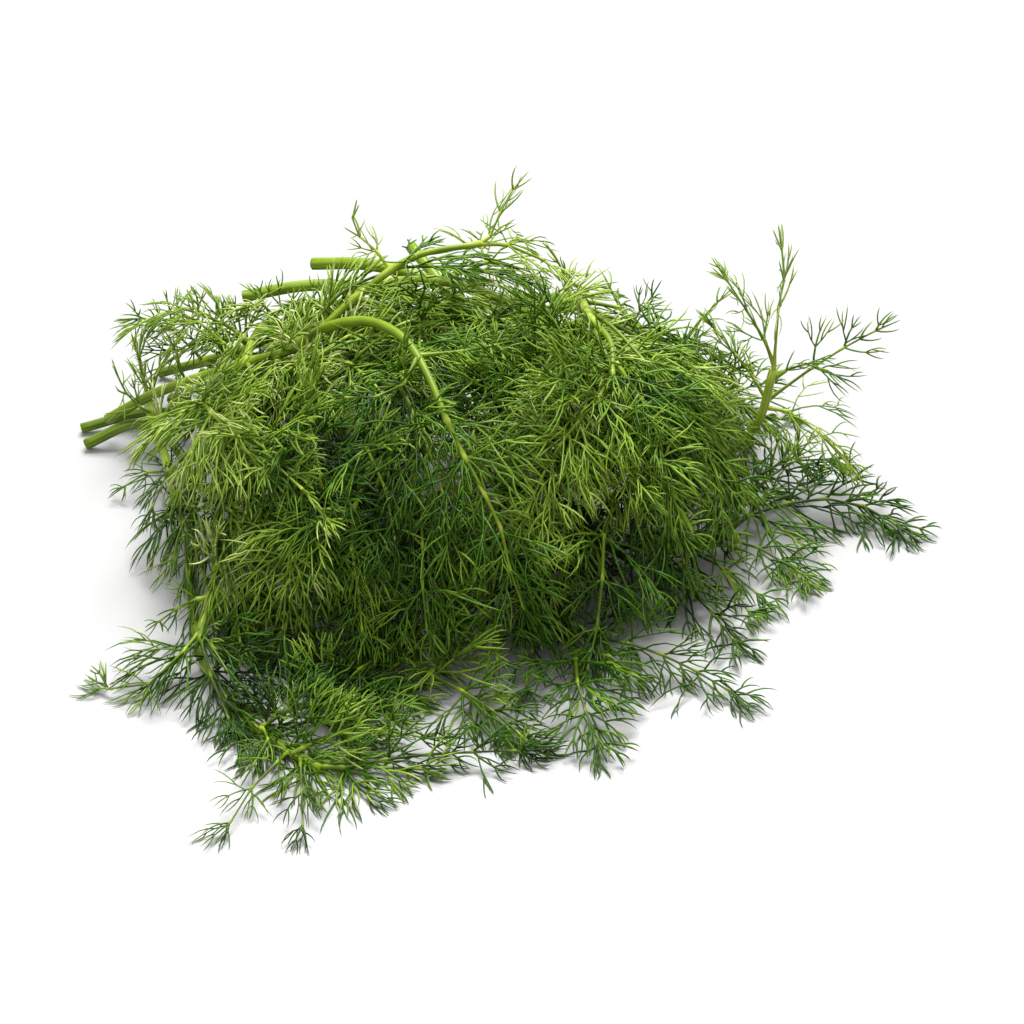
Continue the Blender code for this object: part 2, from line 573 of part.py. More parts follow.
def stalk_of(leaf, curve):
    """The stalk of a leaf along its curve: a few plain rings, and two rings close together at
    each pair of side branches. The last centre is the tip, which is a point."""
    length = length_of(curve)
    leafy = (1 - leaf.bare) * length
    count = int(np.clip(round(leafy / PAIR_EVERY), FEWEST_PAIRS, MOST_PAIRS))
    nodes = leaf.bare + (1 - leaf.bare) * LAST_PAIR * np.arange(count) / (count - 1)
    plain = np.linspace(0, nodes[0], 1 + max(1, round(leaf.bare * length / STALK_POINT_EVERY)))[:-1]
    half = NODE_HALF_LENGTH / length
    rings = np.concatenate([plain, np.stack([nodes - half, nodes + half], axis=1).ravel(), [1.0]])
    pairs = [len(plain) + 2 * pair for pair in range(count)]
    centres = read_at(curve, rings)
    radii = STALK_TIP_RADIUS + (leaf.radius - STALK_TIP_RADIUS) * (1 - rings) ** STALK_TAPER
    centres[:, 2] = np.maximum(centres[:, 2], radii)
    tangents = unit(read_at(np.gradient(curve, axis=0), rings))
    up = leaf_up(centres, tangents)
    return Stalk(centres, radii, np.cross(up, tangents), up, pairs, leaf.spread)


def leaf_stalk(leaf, stem, rng, attempt):
    """A leaf's stalk. A draped leaf is turned, moved and lifted a little more at each attempt."""
    if isinstance(leaf, Shaped):
        return stalk_of(leaf, smooth_route(leaf.route, ROUTE_POINTS))
    share = leaf.share + rng.normal(0, SHARE_PER_TRY * attempt)
    share = np.clip(share, LOWEST_SHARE, HIGHEST_SHARE)
    place = share * (len(stem) - 1)
    below = min(int(place), len(stem) - 2)
    start = stem[below] + (place - below) * (stem[below + 1] - stem[below])
    along = stem[below + 1] - stem[below]
    heading = math.radians(leaf.heading + rng.normal(0, HEADING_SPREAD + HEADING_PER_TRY * attempt))
    layer = leaf.layer * (1 + rng.normal(0, LAYER_SPREAD + LAYER_PER_TRY * attempt))
    stem_heading = math.atan2(along[1], along[0])
    curl = rng.normal(0, BEND_SPREAD)
    return stalk_of(leaf, draped_route(start, stem_heading, heading, leaf.length, layer, curl))


def wanted_branches(stalk, rng):
    """Each side branch and thread of a leaf: (pair, hand, is it a thread, length, angle, tilt)."""
    leafy = length_of(stalk.centres[stalk.pairs[0]:])
    longest = min(stalk.spread, BRANCH_SHARE * leafy)
    count = len(stalk.pairs)
    slimness = 0.5 + 0.5 * stalk.spread / FULL_SPREAD
    wanted = []
    for pair in range(count):
        share = pair / (count - 1)
        angle = slimness * (BRANCH_ANGLE_FIRST + (BRANCH_ANGLE_LAST - BRANCH_ANGLE_FIRST) * share)
        for hand in (-1, 1):
            length = longest * (1 - (1 - BRANCH_SHRINK) * share) * rng.uniform(*BRANCH_LENGTHS)
            tilt = rng.uniform(*BRANCH_TILTS)
            wanted.append((pair, hand, False, length, angle, tilt))
            if pair < count - PAIRS_WITHOUT_THREADS:
                thread = min(THREAD_LENGTH, THREAD_SHARE * longest)
                wanted.append((pair, hand, True, thread, angle - THREAD_TURN, tilt + THREAD_TILT))
    return wanted


def grow_branches(bones, owner, leaf, stalk, rng):
    """The side branches of a leaf, each bent clear of other leafy stems and of its own leaf."""
    branches, left_out = [], 0
    radii = np.full(2, BRANCH_RADIUS)
    for pair, hand, thread, length, angle, tilt in wanted_branches(stalk, rng):
        ring = stalk.pairs[pair]
        foot = stalk.centres[ring:ring + 2].mean(axis=0)
        forward = unit(stalk.centres[ring + 1] - stalk.centres[ring])
        across, up = hand * stalk.side[ring], stalk.up[ring]
        for attempt in range(BRANCH_TRIES):
            turned = angle + rng.normal(0, TURN_PER_TRY * (1 + attempt))
            tilted = float(np.clip(tilt + rng.normal(0, TILT_PER_TRY * attempt), *TILT_LIMITS))
            turned = float(np.clip(turned, *TURN_LIMITS))
            sideways = math.cos(tilted) * across + math.sin(tilted) * up
            way = math.cos(turned) * forward + math.sin(turned) * sideways
            way = unit(way - [0, 0, HANG * max(0.0, -forward[2])])
            tip = foot + length * (1 - SHORTER_PER_TRY * attempt) * way
            tip[2] = max(tip[2], LOWEST_TIP)
            clear_foot = foot + FUSED_SHARE * (tip - foot)
            if bones.clearance(np.array([foot, tip]), radii, owner) < 0:
                continue
            if bones.own_clearance(np.array([clear_foot, tip]), radii / 2, leaf) < 0:
                continue
            bones.add(np.array([clear_foot, tip]), radii, owner, leaf)
            bones.add(np.array([foot, clear_foot]), radii, owner)
            branches.append(Branch(pair, hand, thread, foot, tip))
            break
        else:
            left_out += 1
    return branches, left_out


def grow():
    """Every leafy stem as (name, (its points, their radii), [(stalk, side branches) of each leaf])."""
    bones, grown = Bones(), []
    for owner, plan in enumerate(LEAFY_STEMS):
        stem = stem_line(plan)
        clearance = bones.clearance(*stem, owner)
        if clearance < 0:
            print(f"{plan.name}: its stem is {-clearance:.1f} mm too near another")
        bones.add(*stem, owner)
        grown.append((plan.name, stem, []))
    for kind in (Shaped, Draped):
        for owner, plan in enumerate(LEAFY_STEMS):
            rng = np.random.default_rng(owner)
            for number, leaf in enumerate(plan.leaves):
                if not isinstance(leaf, kind):
                    continue
                best, stalk = -NO_NEIGHBOUR, None
                for attempt in range(LEAF_TRIES):
                    tried = leaf_stalk(leaf, grown[owner][1][0], rng, attempt)
                    clearance = bones.clearance(tried.centres, tried.radii, owner)
                    if clearance > best:
                        best, stalk = clearance, tried
                    if clearance >= 0 or kind is Shaped:
                        break
                if best < 0:
                    print(f"{plan.name}: leaf {number} is {-best:.1f} mm too near another")
                bones.add(stalk.centres, stalk.radii, owner)
                grown[owner][2].append((stalk, []))
    left_out, leaf = 0, 0
    for owner, (name, stem, leaves) in enumerate(grown):
        for stalk, branches in leaves:
            found, missed = grow_branches(bones, owner, leaf, stalk, np.random.default_rng([7, leaf]))
            branches.extend(found)
            left_out += missed
            leaf += 1
    print("leaves:", leaf, "side branches left out:", left_out)
    return grown


def tube(points, radii, sides):
    """A closed tube along the points, with rings turned as little as possible: (vertices, faces)."""
    tangents = unit(np.gradient(points, axis=0))
    steep = np.abs(tangents[:, 2]).max() > STEEP
    reference = np.eye(3)[np.abs(tangents).max(axis=0).argmin() if steep else 2]
    across = unit(np.cross(tangents, reference))
    up = np.cross(across, tangents)
    angle = np.arange(sides) * math.tau / sides
    rings = points[:, None] + radii[:, None, None] * (
        np.cos(angle)[None, :, None] * across[:, None] + np.sin(angle)[None, :, None] * up[:, None]
    )
    rings[..., 2] = np.maximum(rings[..., 2], 0)
    faces = [tuple(range(sides))]
    for low in range(0, (len(points) - 1) * sides, sides):
        for corner in range(sides):
            following = (corner + 1) % sides
            faces.append((low + following, low + corner, low + sides + corner, low + sides + following))
    top = (len(points) - 1) * sides
    faces.append(tuple(top + corner for corner in reversed(range(sides))))
    return rings.reshape(-1, 3), faces


def leaf_mesh(stalk, branches):
    """A leaf as one closed surface: a three-sided stalk with an edge along its top, whose two
    upper faces are raised to a point at each side branch: (vertices, faces)."""
    angle = np.radians(STALK_EDGES)
    rings = stalk.centres[:-1, None] + stalk.radii[:-1, None, None] * (
        np.cos(angle)[None, :, None] * stalk.side[:-1, None]
        + np.sin(angle)[None, :, None] * stalk.up[:-1, None]
    )
    vertices = list(rings.reshape(-1, 3)) + [stalk.centres[-1]]
    tip, faces = len(vertices) - 1, [(0, 1, 2)]
    raised = {}
    for branch in branches:
        raised.setdefault((stalk.pairs[branch.pair], branch.hand), {})[branch.thread] = branch.tip
    for ring in range(len(rings) - 1):
        for corner, hand in ((0, 1), (1, -1), (2, 0)):
            low, following = 3 * ring + corner, 3 * ring + (corner + 1) % 3
            near, far = (following, low, low + 3), (following, low + 3, following + 3)
            tips = raised.get((ring, hand), {})
            if len(tips) == 1:
                vertices.append(next(iter(tips.values())))
                loop = [following, low, low + 3, following + 3]
                faces += [(a, b, len(vertices) - 1) for a, b in zip(loop, loop[1:] + loop[:1])]
                continue
            for triangle, thread in ((near, False), (far, True)):
                if thread not in tips:
                    faces.append(triangle)
                    continue
                vertices.append(tips[thread])
                faces += [(a, b, len(vertices) - 1) for a, b in zip(triangle, triangle[1:] + triangle[:1])]
    last = 3 * (len(rings) - 1)
    faces += [(last + (corner + 1) % 3, last + corner, tip) for corner in range(3)]
    vertices = np.array(vertices)
    vertices[:, 2] = np.maximum(vertices[:, 2], 0)
    return vertices, faces


def mesh_object(name, vertices, faces, collection):
    mesh = bpy.data.meshes.new(name)
    mesh.from_pydata((vertices * MM).tolist(), [], faces)
    made = bmesh.new()
    made.from_mesh(mesh)
    bmesh.ops.triangulate(made, faces=made.faces)
    bmesh.ops.recalc_face_normals(made, faces=made.faces)
    made.to_mesh(mesh)
    made.free()
    obj = bpy.data.objects.new(name, mesh)
    collection.objects.link(obj)
    return obj


def keep_largest_body(mesh):
    """Drops loose scraps that the union left, and any sealed hollow inside the body."""
    made = bmesh.new()
    made.from_mesh(mesh)
    unseen, bodies = set(made.verts), []
    while unseen:
        front, body = [unseen.pop()], []
        while front:
            vertex = front.pop()
            body.append(vertex)
            for edge in vertex.link_edges:
                other = edge.other_vert(vertex)
                if other in unseen:
                    unseen.remove(other)
                    front.append(other)
        bodies.append(body)
    bodies.sort(key=len)
    scraps = [vertex for body in bodies[:-1] for vertex in body]
    bmesh.ops.delete(made, geom=scraps, context="VERTS")
    made.to_mesh(mesh)
    made.free()
    return len(bodies) - 1


def fused(name, stem, leaves):
    """A leafy stem as one solid: the stem united with its leaves."""
    grown_on = bpy.data.collections.new(name + "_leaves")
    bpy.context.scene.collection.children.link(grown_on)
    body = mesh_object(name, *tube(*stem, STEM_SIDES), bpy.context.scene.collection)
    for stalk, branches in leaves:
        mesh_object("leaf", *leaf_mesh(stalk, branches), grown_on)
    union = body.modifiers.new("union", "BOOLEAN")
    union.operation = "UNION"
    union.solver = "MANIFOLD"
    union.operand_type = "COLLECTION"
    union.collection = grown_on
    bpy.context.view_layer.update()
    solid = bpy.data.meshes.new_from_object(body.evaluated_get(bpy.context.evaluated_depsgraph_get()))
    body.modifiers.remove(union)
    body.data = solid
    for obj in list(grown_on.objects):
        bpy.data.objects.remove(obj)
    bpy.data.collections.remove(grown_on)
    scraps = keep_largest_body(solid)
    solid.calc_loop_triangles()
    print(name, len(solid.loop_triangles), "triangles,", scraps, "scraps dropped")
    return body


def leaf_green(number):
    """A green for each leafy stem, a little different from its neighbours'."""
    material = bpy.data.materials.new(f"dill_green_{number:02d}")
    material.use_nodes = True
    shader = material.node_tree.nodes["Principled BSDF"]
    last = len(LEAFY_STEMS) - 1
    shade = DARKEST + (LIGHTEST - DARKEST) * ((number * 7) % (last + 1)) / last
    shader.inputs["Base Color"].default_value = [shade * channel for channel in DILL_GREEN] + [1]
    shader.inputs["Roughness"].default_value = SATIN
    return material


def main():
    for obj in list(bpy.data.objects):
        bpy.data.objects.remove(obj)
    total = 0
    for number, (name, stem, leaves) in enumerate(grow()):
        body = fused(name, stem, leaves)
        body.data.materials.clear()
        body.data.materials.append(leaf_green(number))
        total += len(body.data.loop_triangles)
    print("triangles in all:", total)


if __name__ == "__main__":
    main()
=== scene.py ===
# %% [markdown]
# # A bunch of dill, grown thread by thread
#
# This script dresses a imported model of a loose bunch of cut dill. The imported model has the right
# stems, leaves and side branches, but only one needle for each branch. Here the same plan is
# grown again, and then carried two steps further, down to the thin green threads that make dill
# look feathery.

import collections
import math

import bpy
import numpy as np
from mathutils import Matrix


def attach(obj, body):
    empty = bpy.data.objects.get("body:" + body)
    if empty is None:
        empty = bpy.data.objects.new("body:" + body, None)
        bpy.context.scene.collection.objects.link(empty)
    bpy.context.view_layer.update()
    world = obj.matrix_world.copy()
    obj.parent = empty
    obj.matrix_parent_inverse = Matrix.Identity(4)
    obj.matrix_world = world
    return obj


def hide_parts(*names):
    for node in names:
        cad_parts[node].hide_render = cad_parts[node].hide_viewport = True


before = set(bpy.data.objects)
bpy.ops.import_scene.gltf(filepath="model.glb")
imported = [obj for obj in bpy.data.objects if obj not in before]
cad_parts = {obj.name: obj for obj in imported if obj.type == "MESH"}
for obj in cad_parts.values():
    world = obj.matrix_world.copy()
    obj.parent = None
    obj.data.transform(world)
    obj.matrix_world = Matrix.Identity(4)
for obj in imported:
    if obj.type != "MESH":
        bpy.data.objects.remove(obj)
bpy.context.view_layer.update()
MM = 0.001
print("leafy stems in the packed model:", len(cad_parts))

# %% [markdown]
# ## The plan of the bunch
#
# Every leafy stem has a route, and every leaf either has a route of its own or is draped over
# the heap by a rule. Both are in millimetres. They are the same named values that the packed
# model was made from, so each piece made here lies exactly on the stem that it stands for.

# %% Sizes of the heap, the stems and the leaves
# The heap is a flattened dome of leaves, a little longer than it is wide.
HEAP_CENTRE = (-22.0, 32.0)
HEAP_HALF_LENGTH = 112.0
HEAP_HALF_WIDTH = 94.0
HEAP_HEIGHT = 78.0
HEAP_SHOULDER = 2.6
HEAP_BROW = 0.62

# A stem tapers, has a point this often, and lies this share of its radius above the table.
STEM_POINT_EVERY = 21.0
LYING_HEIGHT = 0.8

# A draped leaf leaves its stem on the stem's heading and swings to its own within a short way,
# while it climbs to the heap's surface. Every leaf's line is read in small steps.
ROUTE_STEP = 2.0
STEPS_BETWEEN_PLACES = 8
ROUTE_POINTS = 33
SWING_OVER = 12.0
CLIMB_OVER = 42.0
CLEAR_OF_SURFACE = 2.0
SMOOTHED_STEPS = 13

# A draped leaf is placed at random round its plan, by these spreads: the share of the stem, the
# heading in degrees, the share of the heap's height and the bend in radians. The first three
# grow with every try that finds no room.
SHARE_PER_TRY = 0.008
LOWEST_SHARE = 0.1
HIGHEST_SHARE = 0.98
HEADING_SPREAD = 3.0
HEADING_PER_TRY = 0.7
LAYER_SPREAD = 0.03
LAYER_PER_TRY = 0.008
BEND_SPREAD = 0.35

# A leaf has a stalk that is bare at first, and then carries pairs of side branches up to its tip.
STALK_POINT_EVERY = 20.0
STALK_TIP_RADIUS = 0.45
STALK_TAPER = 1.3
PAIR_EVERY = 12.8
FEWEST_PAIRS = 3
MOST_PAIRS = 6
LAST_PAIR = 0.82
NODE_HALF_LENGTH = 0.55

# Side branches get shorter towards the tip, and those of the first pairs have a thread beside
# them. The angles are those of a leaf of the full spread, and a slim leaf's branches lie closer to
# its stalk. Where a leaf heads down, its branches hang by up to the last share.
BRANCH_SHARE = 0.56
FULL_SPREAD = 38.0
SLIMMEST_ANGLES = 0.5
BRANCH_SHRINK = 0.5
BRANCH_LENGTHS = (0.82, 1.12)
BRANCH_TILTS = (-0.3, 0.35)
BRANCH_ANGLE_FIRST = math.radians(54)
BRANCH_ANGLE_LAST = math.radians(25)
BRANCH_RADIUS = 0.6
THREAD_LENGTH = 13.0
THREAD_SHARE = 0.6
THREAD_TURN = math.radians(27)
THREAD_TILT = 0.2
PAIRS_WITHOUT_THREADS = 4
LOWEST_TIP = 0.3
HANG = 0.45

# A leaf's blade faces outward from the dome, and a little towards the front of the heap.
DOME_FALL = 1.6
LOWEST_DOME = 15.0
FRONTWARD = np.array([0.0, -0.35, 0.0])

# Every piece keeps this far clear of the other leafy stems, by trying again a little turned.
GAP = 0.4
LEAF_TRIES = 80
BRANCH_TRIES = 12
TURN_PER_TRY = 0.05
TURN_LIMITS = (0.35, 1.35)
TILT_PER_TRY = 0.1
TILT_LIMITS = (-0.5, 1.1)
SHORTER_PER_TRY = 0.03
FUSED_SHARE = 0.25
NO_NEIGHBOUR = 1e9

LeafyStem = collections.namedtuple("LeafyStem", "foot_radius tip_radius route leaves")
Shaped = collections.namedtuple("Shaped", "route bare radius spread", defaults=(0.3, 1.0, FULL_SPREAD))
Draped = collections.namedtuple(
    "Draped", "share heading length layer spread bare radius", defaults=(32.0, 0.36, 1.1)
)
Stalk = collections.namedtuple("Stalk", "centres radii side up pairs spread")
Branch = collections.namedtuple("Branch", "pair hand thread foot tip")
print("heap:", 2 * HEAP_HALF_LENGTH, "by", 2 * HEAP_HALF_WIDTH, "by", HEAP_HEIGHT, "mm")

# %% The leafy stems, from leafy_stem_01 on
# Each has a radius at its cut end and at its tip. Its route runs from the cut end.
# A Shaped leaf has a route of its own; a Draped leaf leaves its stem at a share of the stem's
# length, heads that way in plan, in degrees from +X, is that long, and hangs over the heap at that
# share of the heap's height. The bare share of a leaf has no side branches, its radius is at the
# stalk's foot, and its spread is its longest side branch.
LEAFY_STEMS = [
    LeafyStem(2.0, 1.0, [(-148, 72, 9), (-141, 73, 15), (-127, 65, 26), (-104, 54, 43), (-84, 46, 55),
        (-73, 42, 62), (-59, 50, 71), (-41, 59, 82), (-28, 62, 88), (-10, 67, 88)], [
        Shaped([(-73, 42, 62), (-66, 39, 70), (-58, 35, 76), (-49, 30, 80), (-41, 23, 83), (-30, 7, 82),
            (-20, -18, 73), (-11, -33, 62), (-3, -42, 50), (0, -49, 38), (5, -54, 24),
            (11, -57, 12)], 0.53, 2.2),
        Shaped([(-30, 7, 82), (-21, 8, 82), (-11, 11, 82), (-1, 16, 81), (10, 23, 80)], 0.35, 0.9),
        Shaped([(-30, 7, 82), (-32, -1, 80), (-38, -8, 78), (-47, -10, 77), (-58, -8, 76)], 0.35, 0.9),
        Shaped([(-73, 42, 62), (-66, 50, 69), (-58, 56, 75), (-40, 65, 79), (-16, 68, 77),
            (10, 64, 73)], 0.5, 1.0, 26),
        Shaped([(-41, 59, 82), (-46, 62, 88), (-51, 64, 92), (-54, 65, 97), (-53, 66, 103)], 0.3, 0.9, 19),
        Shaped([(-10, 67, 88), (-6, 69, 91), (-3, 73, 97), (0, 78, 101), (4, 81, 105)], 0.15, 0.8, 17),
        Shaped([(-10, 67, 88), (0, 69, 86), (10, 71, 80), (20, 72, 72), (27, 73, 62)], 0.2, 1.0, 23),
        Draped(0.55, -60, 90, 0.88), Draped(0.72, -100, 90, 0.85), Draped(0.45, 200, 45, 0.95, 23),
    ]),
    LeafyStem(2.0, 1.2, [(-156, 66, 2), (-149, 67, 7), (-138, 68, 10), (-126, 63, 9), (-116, 45, 5),
        (-112, 15, 1), (-108, -25, 1), (-98, -62, 1), (-80, -87, 1), (-69, -99, 1), (-59, -105, 1)], [
        Shaped([(-59, -105, 2), (-49, -106, 3), (-36, -103, 4), (-21, -101, 4), (-4, -101, 5),
            (14, -98, 3)], 0.1, 1.0, 23),
        Shaped([(-66, -101, 2), (-65, -110, 6), (-64, -121, 5), (-63, -130, 3),
            (-65, -137, 2)], 0.2, 0.9, 16),
        Shaped([(-70, -98, 2), (-74, -108, 5), (-80, -118, 5), (-84, -128, 3),
            (-90, -135, 2)], 0.2, 0.9, 16),
        Shaped([(-116, 42, 5), (-121, 40, 9), (-128, 39, 10), (-135, 37, 7), (-141, 34, 4)], 0.2, 0.9, 19),
        Draped(0.62, -5, 95, 0.35, 29, 0.15), Draped(0.8, 25, 100, 0.45),
        Draped(0.72, -58, 55, 0.45, 19, 0.15), Draped(0.93, -10, 55, 0.3, 29, 0.15),
        Draped(0.86, 65, 60, 0.35, 29, 0.15), Draped(0.9, 40, 60, 0.4, 26, 0.15),
        Shaped([(-69, -99, 2), (-58, -96, 6), (-46, -93, 7), (-33, -94, 6), (-20, -96, 4)], 0.1, 1.0, 22),
        Shaped([(-80, -87, 2), (-76, -94, 6), (-78, -102, 6), (-82, -110, 3)], 0.1, 0.9, 15),
        Shaped([(-80, -87, 2), (-72, -86, 7), (-66, -82, 12), (-60, -77, 15)], 0.1, 0.9, 20),
    ]),
    LeafyStem(1.8, 1.1, [(-159, 76, 2), (-148, 77, 4), (-132, 80, 7), (-117, 74, 10), (-106, 50, 13),
        (-101, 14, 15), (-99, -25, 15), (-102, -50, 11)], [
        Shaped([(-102, -50, 11), (-108, -60, 9), (-117, -69, 5), (-127, -71, 3),
            (-136, -64, 2)], 0.2, 0.9, 20),
        Shaped([(-100, -36, 14), (-106, -38, 14), (-112, -40, 11), (-119, -43, 7)], 0.2, 0.9, 14),
        Shaped([(-102, 24, 15), (-109, 22, 14), (-116, 18, 11), (-122, 13, 8)], 0.2, 0.9, 19),
        Shaped([(-99, -22, 15), (-98, -27, 21), (-94, -33, 22), (-91, -39, 16), (-90, -46, 8),
            (-87, -56, 3)], 0.2, 0.9),
        Draped(0.75, -62, 75, 0.8, 27, 0.12),
        Shaped([(-102, -50, 11), (-100, -61, 13), (-96, -72, 9), (-91, -83, 5),
            (-86, -92, 3)], 0.12, 1.0, 23),
        Draped(0.85, -50, 68, 0.6, 28, 0.12), Draped(0.6, -55, 85, 0.8, 28, 0.15),
        Draped(0.88, -30, 70, 0.5, 26),
        Shaped([(-117, 74, 10), (-119, 77, 22), (-121, 80, 31), (-124, 82, 38)], 0.15, 0.9, 20),
    ]),
    LeafyStem(2.2, 1.3, [(-99, 107, 40), (-72, 107, 45), (-37, 100, 45), (5, 83, 37), (42, 56, 24),
        (70, 38, 16), (81, 35, 20), (91, 47, 34), (93, 48, 48)], [
        Shaped([(93, 48, 48), (92, 47, 60), (93, 47, 76), (94, 47, 88), (92, 51, 101)], 0.5, 1.0, 20),
        Shaped([(91, 47, 35), (97, 50, 40), (108, 54, 45), (117, 57, 50), (127, 61, 54),
            (135, 63, 57)], 0.4, 1.0, 22),
        Shaped([(91, 46, 33), (98, 44, 33), (107, 40, 29), (116, 35, 22), (123, 30, 15)], 0.2, 1.0, 20),
        Shaped([(93, 48, 50), (88, 50, 62), (82, 54, 70), (77, 57, 77), (73, 60, 82)], 0.25, 1.0, 19),
        Draped(0.62, 50, 85, 0.85), Draped(0.8, -60, 74, 0.8, 27),
        Shaped([(91, 47, 36), (85, 52, 44), (77, 58, 52), (70, 64, 58)], 0.25, 0.9, 20),
        Shaped([(93, 47, 44), (100, 46, 51), (107, 43, 53), (114, 40, 51)], 0.25, 0.9, 16),
        Draped(0.22, -80, 90, 0.9), Draped(0.4, -60, 100, 0.75),
    ]),
    LeafyStem(2.3, 1.5, [(-73, 114, 50), (-50, 105, 55), (-28, 96, 53), (-4, 78, 42), (18, 52, 20),
        (34, 26, 8), (50, 9, 2), (64, 9, 1), (76, 13, 1)], [
        Shaped([(76, 13, 2), (84, 18, 6), (97, 21, 9), (112, 24, 9), (126, 22, 7), (136, 16, 4),
            (145, 7, 2)], 0.15, 1.0, 29),
        Shaped([(76, 13, 2), (86, 26, 9), (98, 38, 13), (110, 44, 12), (122, 45, 8)], 0.25, 1.0, 27),
        Shaped([(64, 9, 2), (75, 4, 8), (87, -3, 8), (98, -10, 5), (106, -16, 2)], 0.2, 1.0, 26),
        Draped(0.55, -40, 110, 0.9), Draped(0.75, 20, 95, 0.7), Draped(0.35, -95, 105, 0.8),
        Draped(0.45, -100, 90, 0.8), Draped(0.85, -50, 70, 0.6), Draped(0.62, -98, 85, 0.85, 29),
    ]),
    LeafyStem(2.2, 1.2, [(-37, 126, 50), (-32, 117, 51), (-24, 106, 43), (-8, 74, 26), (8, 42, 14),
        (22, 18, 8), (34, 2, 4), (45, -7, 3)], [
        Shaped([(45, -7, 3), (56, -16, 6), (65, -27, 5), (73, -41, 3), (79, -53, 2)], 0.15, 1.0, 29),
        Shaped([(34, 2, 4), (50, -2, 9), (66, -8, 9), (80, -18, 6), (90, -30, 2)], 0.25, 1.0, 28),
        Draped(0.45, -30, 115, 1.0), Draped(0.6, -75, 110, 0.95), Draped(0.8, -100, 95, 0.6),
        Draped(0.3, -100, 110, 0.9), Draped(0.7, -45, 90, 0.75), Draped(0.25, 160, 70, 0.7),
        Draped(0.9, -95, 70, 0.4, 26),
    ]),
    LeafyStem(2.1, 1.2, [(-128, 96, 1), (-96, 72, 1), (-60, 45, 1), (-28, 22, 1), (0, 0, 1), (15, -23, 1),
        (22, -50, 1)], [
        Shaped([(20, -40, 2), (31, -48, 6), (43, -54, 8), (56, -60, 6), (68, -68, 4),
            (80, -78, 2)], 0.15, 1.0, 24),
        Shaped([(22, -50, 2), (22, -62, 6), (23, -76, 6), (27, -90, 4), (31, -103, 2)], 0.15, 1.0, 28),
        Shaped([(10, -15, 2), (2, -30, 9), (-2, -46, 13), (-4, -60, 13), (-3, -73, 10)]),
        Draped(0.45, -110, 110, 0.55), Draped(0.62, -60, 110, 0.5), Draped(0.8, -100, 75, 0.35),
        Draped(0.15, 40, 75, 0.35, 26), Draped(0.7, -75, 70, 0.4, 26),
        Shaped([(22, -50, 2), (30, -56, 7), (38, -63, 7), (46, -70, 4)], 0.1, 0.9, 26),
    ]),
    LeafyStem(2.0, 1.2, [(-118, 112, 2), (-86, 92, 4), (-62, 66, 8), (-46, 34, 8), (-38, 0, 6),
        (-34, -32, 4), (-30, -60, 3)], [
        Shaped([(-30, -60, 3), (-20, -70, 6), (-8, -80, 6), (2, -90, 4), (9, -99, 2)], 0.15, 1.0, 28),
        Shaped([(-32, -46, 3), (-44, -60, 8), (-54, -73, 8), (-60, -85, 7)], 0.25),
        Draped(0.5, -142, 90, 0.6, 29), Draped(0.66, -60, 110, 0.7), Draped(0.82, -130, 105, 0.6),
        Draped(0.95, -110, 75, 0.4), Draped(0.18, 30, 75, 0.5), Draped(0.3, -10, 80, 0.75),
        Draped(0.9, -35, 65, 0.4, 26),
    ]),
    LeafyStem(2.0, 1.3, [(-64, 128, 22), (-58, 104, 38), (-52, 78, 50), (-47, 46, 54), (-45, 16, 54),
        (-46, -8, 48)], [
        Shaped([(-46, -8, 48), (-48, -20, 52), (-50, -31, 50), (-52, -40, 44), (-50, -45, 37),
            (-49, -51, 28), (-48, -56, 19), (-47, -61, 9)], 0.35, 1.3),
        Shaped([(-45, 4, 52), (-48, -10, 62), (-46, -22, 65), (-42, -30, 62), (-39, -36, 55), (-37, -43, 46),
            (-36, -48, 38)], 0.42),
        Shaped([(-45, 10, 54), (-36, -8, 58), (-30, -26, 56), (-28, -41, 47), (-28, -51, 35), (-27, -58, 22),
            (-24, -64, 9)], 0.35),
        Draped(0.7, -60, 110, 1.0), Draped(0.5, -165, 80, 0.95, 29), Draped(0.3, -110, 100, 0.8),
    ]),
    LeafyStem(1.9, 1.1, [(-90, 126, 14), (-91, 104, 30), (-94, 82, 36), (-97, 58, 34), (-97, 34, 38)], [
        Shaped([(-97, 34, 38), (-102, 26, 50), (-104, 16, 56), (-99, 6, 58), (-91, -6, 58), (-82, -18, 55),
            (-73, -28, 51)]),
        Shaped([(-94, 82, 36), (-105, 84, 44), (-117, 85, 49), (-128, 85, 46),
            (-139, 83, 41)], 0.25, 1.0, 22),
        Shaped([(-96, 66, 35), (-104, 67, 49), (-112, 71, 53), (-118, 75, 51),
            (-124, 79, 46)], 0.3, 1.0, 22),
        Draped(0.8, 172, 45, 0.9, 26), Draped(0.97, 10, 85, 0.9), Draped(0.6, -40, 95, 0.82),
        Draped(0.9, -120, 60, 0.9, 28),
    ]),
    LeafyStem(2.0, 1.3, [(-12, 132, 20), (4, 112, 36), (18, 88, 52), (26, 64, 66), (28, 44, 72)], [
        Shaped([(28, 44, 72), (33, 33, 73), (36, 19, 71), (29, 0, 69), (19, -14, 65), (12, -26, 60),
            (6, -37, 51), (2, -46, 40)], 0.3, 1.3),
        Shaped([(36, 19, 71), (42, 11, 67), (48, 2, 59), (52, -9, 50), (53, -19, 40),
            (53, -29, 28)], 0.25, 0.9),
        Shaped([(27, 56, 68), (37, 38, 71), (46, 24, 68), (55, 17, 61), (63, 14, 51), (69, 6, 41),
            (72, -5, 30), (73, -15, 18)], 0.35),
        Draped(0.9, 32, 85, 0.92, 29),
        Shaped([(22, 76, 59), (20, 76, 68), (17, 75, 76), (14, 73, 82)], 0.15, 0.9, 20),
        Draped(0.7, 70, 60, 0.88, 29), Draped(0.6, 5, 95, 0.92, 29), Draped(0.98, -75, 105, 0.97),
        Draped(0.8, -110, 100, 0.95),
    ]),
